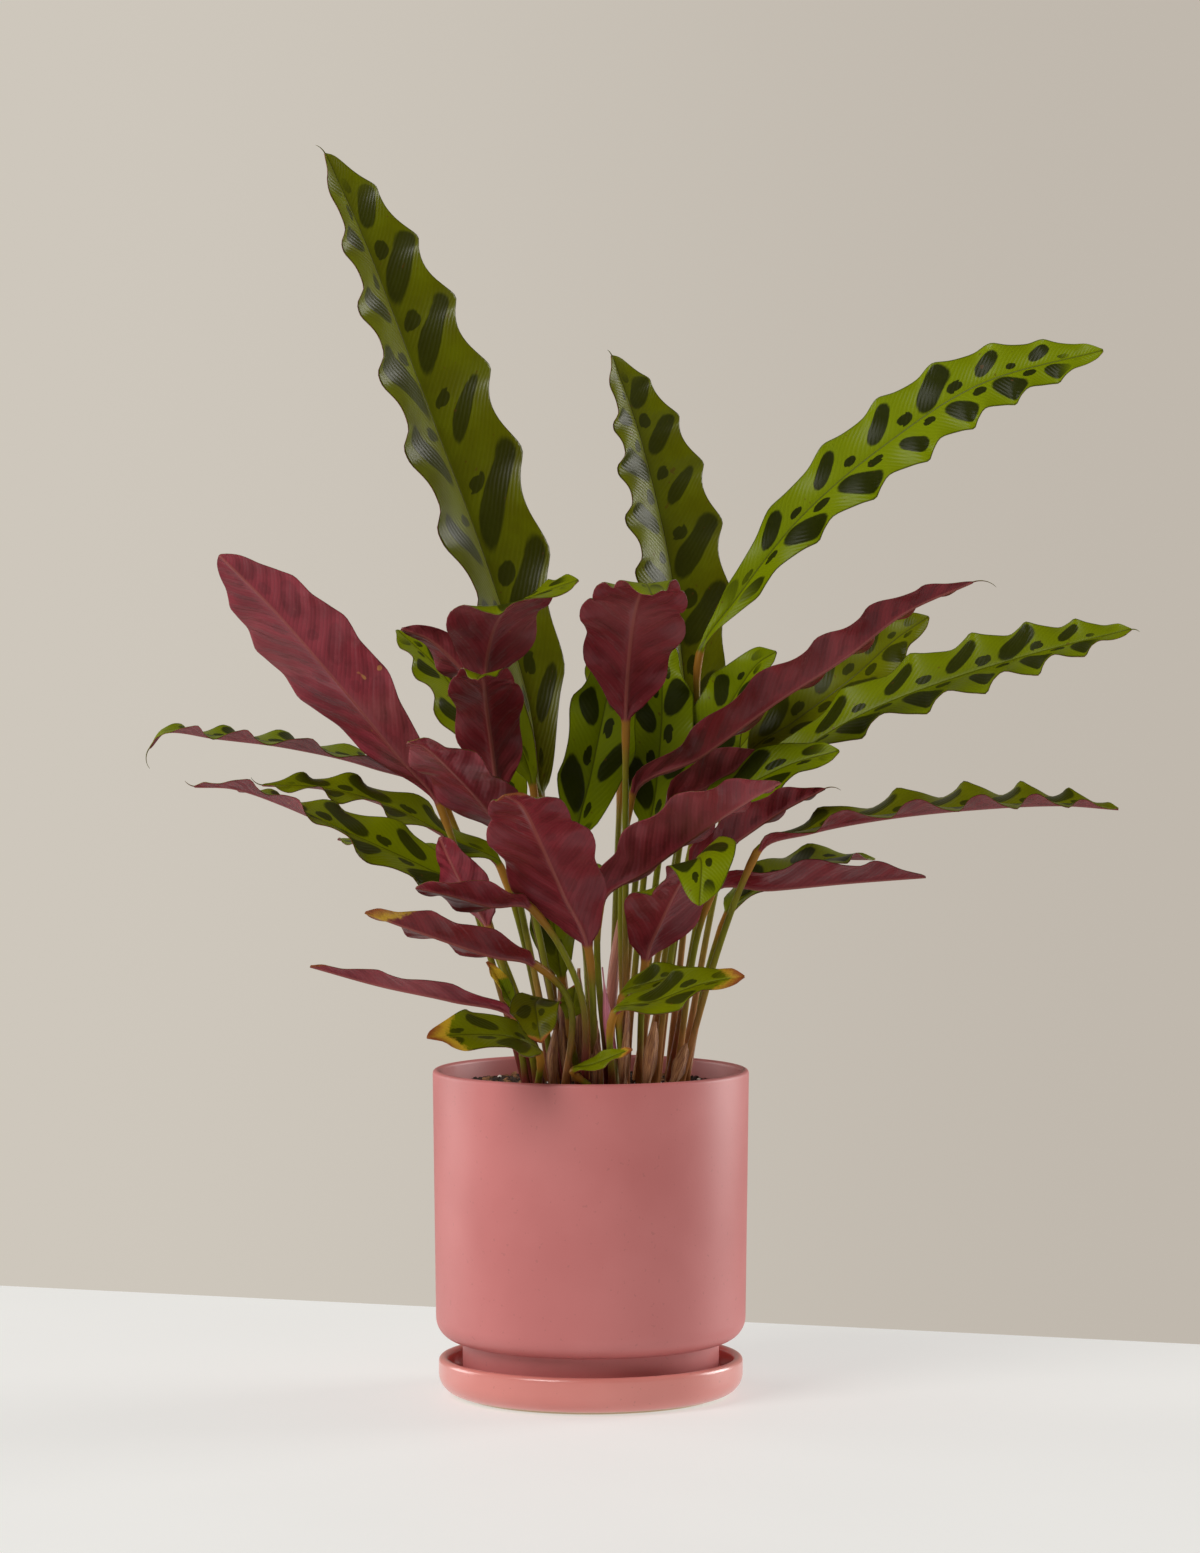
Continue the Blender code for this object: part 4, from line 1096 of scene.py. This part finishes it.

# %% [markdown]
# ## The leaves
# A leaf's places are in millimetres: where its stem leaves the soil, the midrib
# from the blade's base to its tip, half the blade's width, and the way its upper
# side looks. The tone of a leaf is its green, from bright to olive, its red, from
# brown to pink, and how far its tip is scorched. The olive end is partly the leaf's
# own colour and partly painted shade on leaves that stand in shadow, and the pink
# end is partly painted light on undersides that face the lamp. A tip may end in a
# fine curled tail: how far it curls, in degrees, and its length in metres.

# %% Leaf places
GREEN_FRONT = (0, -1, 0.15)
LEAVES = [
    # Tall leaves at the back of the crown
    leaf("tall_left", (-8, 6),
         [(-26, 15, 310), (-33, 22, 362), (-54, 28, 431), (-83, 22, 509), (-116, 5, 597), (-137, -12, 645)],
         41.5, (0.786, -0.618, 0.1), fold=24, ripple=3.4, belly=0.54, wave=44, tone=(0.85, 0.4, 0),
         tail=(60, 0.007)),
    leaf("tall_centre", (24, 8),
         [(52, 28, 328), (49, 32, 373), (41, 34, 436), (26, 25, 499), (11, 10, 542)],
         32, (0.66, -0.75, 0.1), fold=24, belly=0.52, tone=(0.85, 0.3, 0), tail=(50, 0.004)),
    leaf("tall_right", (41, 9),
         [(57, 22, 386), (76, 20, 415), (109, 12, 457), (150, 0, 493), (201, -15, 526), (263, -30, 543)],
         21, (-0.3, -1, 0.4), ripple=3.4, belly=0.6, way=[(57, 18, 330)], tone=(0.1, 0.4, 0)),
    # Left side, upper
    leaf("great_left", (-34, -14),
         [(-78, -14, 308), (-98, -28, 334), (-128, -48, 372), (-160, -66, 410), (-187, -78, 438)],
         31, (0.5, 0.8, 0.5), fold=10, ripple=1.4, belly=0.6, tone=(0.4, 1, 0)),
    leaf("curl_left", (-16, 0),
         [(-30, 5, 317), (-45, -5, 355), (-64, -8, 376), (-83, -12, 394), (-98, -16, 400)],
         14, (-0.3, -1, 0.3), (-0.6, 0.4, 0.8), fold=30, ripple=2.0, tone=(0.6, 0.7, 0)),
    leaf("arch_left", (-12, -19),
         [(-53, -34, 369), (-52, -50, 391), (-44, -76, 409), (-26, -100, 418), (-6, -108, 425)],
         24, (-0.1, 0.8, 0.5), (-0.1, -0.5, 0.85), fold=10, ripple=3.4, tone=(0.5, 0.75, 0)),
    leaf("arch_centre", (18, -40),
         [(18, -48, 352), (19, -66, 380), (22, -105, 409), (27, -150, 423), (30, -172, 418)],
         25, (0.1, 0.8, 0.7), (0, 0, 1), fold=8, tone=(0.4, 0.45, 0)),
    leaf("upright_left", (-18, -27),
         [(-47, -36, 312), (-50, -46, 336), (-53, -66, 362), (-54, -100, 377), (-56, -122, 376)],
         18, (0, 0.9, 0.5), (0, 0, 1), tone=(0.4, 0.35, 0)),
    leaf("fore_mid_left", (-12, -36),
         [(-37, -46, 287), (-53, -66, 310), (-70, -92, 330), (-83, -114, 343), (-90, -124, 345)],
         21, (0.3, 0.7, 0.7), fold=10, tone=(0.4, 0.85, 0)),
    leaf("fore_left", (2, -47),
         [(-1, -66, 238), (-13, -84, 266), (-24, -114, 293), (-33, -148, 314), (-41, -174, 321)],
         25, (0.1, 0.8, 0.7), fold=8, tone=(0.4, 0.6, 0.12)),
    # Left side, level and low
    leaf("level_left_high", (-30, -4),
         [(-79, 26, 311), (-116, 22, 328), (-158, 16, 338), (-197, 12, 343), (-222, 8, 346), (-230, 6, 338)],
         18, (0, -0.04, 1), fold=18, ripple=3.4, tone=(0.35, 0.6, 0), tail=(80, 0.012)),
    leaf("wavy_left", (-20, -10),
         [(-47, 6, 275), (-71, 6, 289), (-104, 1, 307), (-138, -7, 317), (-170, -12, 319)],
         17, (0.1, -0.35, 0.93), ripple=3.6, tone=(0.7, 0.5, 0), tail=(-60, 0.008)),
    leaf("level_left_low", (-26, -21),
         [(-63, -26, 264), (-85, -32, 277), (-121, -40, 294), (-156, -46, 310), (-182, -50, 319),
          (-202, -52, 320)],
         22, (0.2, -0.75, 0.7), (0, 0.2, 1), ripple=2.8, tone=(0.5, 0.7, 0), tail=(-50, 0.006)),
    leaf("pink_left", (-26, -32),
         [(-52, -42, 247), (-62, -50, 264), (-71, -52, 281), (-77, -49, 294)],
         15, (0.5, 0.7, 0.3), fold=10, ripple=2.0, tone=(0.5, 0.95, 0)),
    leaf("short_left", (-3, -56),
         [(-30, -84, 260), (-50, -98, 262), (-70, -108, 268), (-87, -114, 272)],
         15, (0, 0.5, 0.85), fold=18, ripple=2.2, way=[(-5, -66, 215)], tone=(0.45, 0.6, 0)),
    leaf("low_left", (-13, -52),
         [(-28, -80, 231), (-50, -98, 237), (-80, -112, 248), (-112, -120, 260)],
         16, (0.1, 0.5, 0.85), fold=26, ripple=2.4, way=[(-10, -61, 208)], tone=(0.5, 0.2, 0.45)),
    leaf("thin_left", (-27, -50),
         [(-38, -66, 203), (-71, -78, 213), (-106, -86, 221), (-141, -92, 231)],
         11, (0.1, 0.35, 0.9), fold=28, ripple=1.6, tone=(0.55, 0.8, 0.1)),
    leaf("yellow_tip_left", (-27, -59),
         [(-26, -72, 185), (-40, -92, 195), (-60, -110, 198), (-81, -124, 198)],
         16, (0.2, -0.6, 0.8), ripple=2.4, tone=(0.8, 0.5, 0.5)),
    leaf("round_left", (-19, -43),
         [(-25, -54, 209), (-28, -68, 210), (-27, -80, 203), (-25, -86, 192)],
         13, (0, -0.5, 0.85), (0, -1, 0), ripple=1.4, tone=(1, 0.5, 0.25)),
    leaf("lobe_left", (-6, -42),
         [(-11, -48, 199), (-9, -50, 209), (-8, -50, 218)],
         7, GREEN_FRONT, ripple=1.0, tone=(0.9, 0.5, 0.2)),
    leaf("withered_left", (-33, -38),
         [(-40, -40, 204), (-46, -46, 218), (-53, -50, 230)],
         5, (0.4, -0.8, 0.4), fold=40, ripple=0.8, tone=(0.1, 1, 1)),
    # Centre
    leaf("inner_left", (5, -11),
         [(-7, -8, 289), (0, -12, 324), (8, -16, 363), (16, -22, 402)],
         19, (0.3, -1, 0.1), tone=(0.2, 0.4, 0)),
    leaf("inner_centre", (18, -4),
         [(30, 6, 292), (34, 6, 316), (37, 6, 352), (38, 6, 378), (43, 8, 391)],
         19, GREEN_FRONT, ripple=2.6, tone=(0.2, 0.4, 0)),
    leaf("shade_centre", (-5, -8),
         [(-15, -8, 217), (-19, -5, 245), (-25, -2, 284)],
         12, GREEN_FRONT, tone=(0.7, 0.3, 0)),
    leaf("fore_right", (9, -37),
         [(5, -58, 260), (30, -70, 279), (55, -84, 298), (78, -96, 314), (95, -104, 324)],
         28, (-0.4, 0.5, 0.75), fold=30, ripple=2.6, tone=(0.3, 0.75, 0)),
    leaf("baby_centre", (1, -62),
         [(-9, -66, 175), (3, -72, 180), (21, -80, 188)],
         6, (0, -0.6, 0.8), ripple=1.0, tone=(0.6, 0.5, 0.4)),
    # Right side, upper
    leaf("inner_right", (31, -2),
         [(50, 8, 310), (58, 8, 335), (74, 2, 363), (86, -6, 381), (96, -12, 388)],
         17, (-0.2, -1, 0.4), tone=(0.2, 0.4, 0)),
    leaf("broad_right", (47, 0),
         [(83, 24, 332), (107, 22, 351), (136, 16, 373), (159, 8, 394), (176, 2, 406)],
         22, (-0.3, -0.9, 0.5), tone=(0.8, 0.4, 0)),
    leaf("lance_right", (17, -30),
         [(21, -34, 314), (56, -44, 335), (94, -58, 363), (129, -70, 386), (159, -78, 409), (192, -82, 424)],
         19, (-0.4, 0.5, 0.8), fold=32, tone=(0.3, 0.3, 0), tail=(70, 0.014)),
    leaf("long_right", (41, -11),
         [(72, 2, 309), (104, -6, 333), (139, -16, 355), (180, -26, 372), (230, -38, 388), (276, -48, 400)],
         22, (-0.15, -0.6, 0.8), fold=20, ripple=3.8, belly=0.58, tone=(0.3, 0.5, 0), tail=(70, 0.005)),
    leaf("twist_right", (34, -19),
         [(57, -24, 308), (77, -34, 318), (103, -44, 331), (127, -50, 338)],
         16, (-0.2, -0.7, 0.7), ripple=2.4, tone=(0.2, 0.4, 0)),
    leaf("under_right", (26, -12),
         [(40, -6, 306), (60, -12, 318), (78, -18, 329), (92, -22, 335)],
         16, (0, 0.8, 0.6), ripple=2.2, tone=(0.5, 0.3, 0)),
    # Right side, level and low
    leaf("small_right", (33, -27),
         [(51, -30, 275), (74, -40, 291), (97, -50, 307), (119, -58, 319)],
         17, (-0.4, 0.5, 0.75), fold=30, ripple=2.2, tone=(0.3, 0.35, 0), tail=(60, 0.01)),
    leaf("level_right", (46, -31),
         [(85, -46, 286), (112, -54, 297), (152, -64, 305), (197, -74, 310), (237, -82, 312),
          (266, -86, 310)],
         22, (0, -0.15, 0.98), fold=24, ripple=4.2, tone=(0.8, 0.4, 0)),
    leaf("low_right", (44, -21),
         [(63, -18, 264), (93, -26, 266), (133, -34, 270), (172, -40, 273)],
         20, (0, 0.3, 0.95), fold=26, ripple=2.6, tone=(0.8, 0.3, 0)),
    leaf("hang_right", (25, -34),
         [(28, -40, 229), (36, -56, 252), (47, -84, 276), (55, -112, 286), (54, -128, 264)],
         25, (-0.2, 0.7, 0.7), (0, -1, 0.4), fold=8, ripple=2.2, tone=(0.3, 0.4, 0)),
    leaf("scorched_right", (11, -56),
         [(12, -76, 206), (33, -88, 213), (55, -98, 222), (77, -106, 227)],
         14, (0, -0.6, 0.8), ripple=2.4, tone=(0.6, 0.5, 0.4)),
    leaf("shade_right", (17, -49),
         [(16, -54, 212), (35, -58, 221), (54, -60, 225)],
         11, (0, -0.6, 0.8), ripple=1.8, tone=(0.6, 0.3, 0)),
    # Behind the crown
    leaf("back_left_high", (-12, 14),
         [(-40, 60, 300), (-58, 82, 340), (-82, 104, 376), (-106, 122, 398)],
         22, (0.3, -0.5, 0.8)),
    leaf("back_high", (10, 18),
         [(16, 70, 318), (20, 92, 358), (22, 118, 394), (20, 146, 414)],
         23, (0, -0.6, 0.8), tail=(60, 0.008)),
    leaf("back_upright", (15, 27),
         [(30, 66, 330), (36, 80, 372), (41, 90, 412), (44, 94, 440)],
         18, (0, -1, 0.3)),
    leaf("back_right_high", (28, 17),
         [(62, 62, 306), (84, 82, 340), (110, 102, 366), (138, 120, 382)],
         22, (-0.3, -0.5, 0.8)),
    leaf("back_left_low", (-24, 8),
         [(-60, 58, 250), (-86, 82, 268), (-112, 104, 280), (-138, 122, 284)],
         20, (0.1, -0.2, 1), fold=18),
    leaf("back_low", (0, 22),
         [(-4, 74, 240), (-10, 104, 258), (-18, 134, 266), (-26, 160, 262)],
         20, (0, -0.2, 1), fold=18),
    leaf("back_right_low", (50, 12),
         [(72, 54, 246), (98, 74, 264), (126, 94, 274), (154, 110, 274)],
         20, (-0.1, -0.2, 1), fold=18),
]

print("leaves:", len(LEAVES))

# %% Grow the leaves
for entry in LEAVES:
    leaf_piece(entry, entry.name, leaf_green.material)

# %% [markdown]
# ## Sheaths and young leaves
# A stem's foot is wrapped in a sheath, which dries to a papery husk when the leaf is
# gone. It is made by the leaf's rule, folded into a trough, with a finish of dry
# fibres. A young leaf is still rolled into a spear, and the seam of the roll winds
# round it as a small step.

# %% Sheaths


def papery(name, dark, light):
    """Dry leaf skin: fibres along the piece and torn brown edges."""
    finish = Finish(name, {"Roughness": 0.72})
    _, v, share = finish.attribute("pattern")
    where = finish.place()
    fibres = finish.noise(finish.join(v * 9, share * 1.5, 0.0), 2.2, 3.0, 0.6)
    patches = finish.noise(where, 90.0, 3.0)
    colour = finish.blend(fibres.band(0.35, 0.65), dark, light)
    finish.send(Base_Color=finish.layers(colour, (patches.band(0.5, 0.7) * 0.6, (118, 70, 62)),
                                         (v.math("ABSOLUTE").band(0.8, 1.0) * 0.6, (84, 56, 38))))
    finish.relief(fibres + patches * 0.5, 0.0004)
    return finish.material


husk = papery("sheath_finish", linear(116, 70, 42), linear(188, 136, 88))
SHEATHS = [
    leaf("papery_left", (-19, -52), [(-19, -55, 166), (-20, -57, 180), (-18, -59, 196)],
         3.5, (0.2, 0.9, 0.2), fold=42, ripple=0.3),
    leaf("papery_right", (27, -46), [(28, -54, 166), (31, -56, 180), (33, -57, 200)],
         4.5, (-0.2, 0.9, 0.2), fold=42, ripple=0.3),
    leaf("stub_right", (38, -40), [(41, -46, 166), (46, -48, 176), (49, -49, 188)],
         4.5, (-0.2, 0.9, 0.2), fold=38, ripple=0.6),
]

for entry in SHEATHS:
    leaf_piece(entry, entry.name, husk)

# Old sheaths round the feet of the stems: place on the soil, lean to the right and
# half width in millimetres, and height of the tip
WRAPS = [
    (-12, -44, -4, 3.2, 216), (-5, -40, -1, 2.8, 226), (2, -52, 1, 3.0, 200),
    (16, -52, 3, 3.0, 208), (-26, -38, -7, 3.0, 205),
]
foot = SOIL_TOP / MM
for x, y, out, half, top in WRAPS:
    middle = (foot + top) / 2
    midrib = [(x, y, foot + 2), (x + out * 0.4, y - 1, middle), (x + out, y, top)]
    wrap = leaf("wrap_%d" % top, (x, y), midrib, half, (0.1, 0.95, 0.1), fold=42, ripple=0.8, belly=0.4)
    leaf_piece(wrap, None, husk)
print("sheaths:", len(SHEATHS), "and", len(WRAPS), "old ones")

# %% Young rolled leaves
Roll = namedtuple("Roll", "name root way tip radius")
ROLLS = [
    Roll("rolled_centre", (8, -22), [(13, -24, 234)], (18, -26, 271), 3.0),
    Roll("spear_centre", (13, -46), [(9, -55, 200)], (6, -59, 228), 2.6),
]
ROLL_STEPS = 60
ROLL_SIDES = 32
ROLL_TIP_RADIUS = 0.0004


def roll_finish(name, dark, light):
    """The red back of a rolled leaf: it pales to its tip, with veins along it."""
    finish = Finish(name, {"Roughness": 0.42})
    _, turned_by, share = finish.attribute("pattern")
    where = finish.place()
    veins = finish.noise(finish.join(turned_by * 7, share * 2, 0.0), 3.0, 2.0)
    mottle = finish.noise(where, 120.0, 3.0)
    colour = finish.layers(finish.blend(share.band(0.3, 1.0) * 0.6 + mottle * 0.4, dark, light),
                           (veins.band(0.45, 0.65) * 0.35, (92, 44, 46)))
    stem = finish.blend(mottle, linear(112, 126, 58), linear(146, 120, 66))
    finish.send(Base_Color=finish.blend(share.band(0.18, 0.34), stem, colour))
    finish.relief(veins, 0.0003)
    return finish.material


def rolled_leaf(entry, finish):
    """A spindle whose edge laps over itself in a winding seam."""
    low, out = stem_foot(entry)
    curve = smooth_path([low, out, *(np.array([*entry.way, entry.tip]) * MM)])[SPAN_STEPS:]
    shares = np.linspace(0, 1, ROLL_STEPS)
    places, ways = spaced(curve, shares)
    turns = np.arange(ROLL_SIDES) / ROLL_SIDES
    angles = 2 * np.pi * turns[:, None]
    rings, marks = [], []
    for share, place, way in zip(np.insert(shares, 0, 0), [low, *places], [np.array([0, 0, 1.0]), *ways]):
        side = unit(np.array([1.0, 0, 0]) - way * way[0])
        swell = STEM_RADIUS + (entry.radius * MM - STEM_RADIUS) * smoothstep(3 * share)
        radius = max(swell * (1 - smoothstep(2 * share - 1)), ROLL_TIP_RADIUS)
        lap = 0.22 * smoothstep((share - 0.25) * 5)
        seam = (turns + 0.45 * share) % 1
        wide = radius * (1 - lap / 2 + lap * seam)[:, None]
        rings.append(place + wide * (np.cos(angles) * side + np.sin(angles) * np.cross(side, way)))
        marks.append(np.stack([np.zeros(ROLL_SIDES), seam, np.full(ROLL_SIDES, share)], axis=1))
    piece = piece_from("young_" + entry.name, *joined_rings(rings), finish)
    keep_marks(piece, "pattern", np.concatenate(marks))
    tidy_faces(piece, 60)
    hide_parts(entry.name)
    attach(piece, "root")


rolled_leaf(ROLLS[0], roll_finish("rolled_leaf_finish", linear(168, 92, 84), linear(206, 150, 120)))
rolled_leaf(ROLLS[1], roll_finish("spear_finish", linear(176, 72, 104), linear(214, 140, 150)))
print("young leaves:", len(ROLLS))
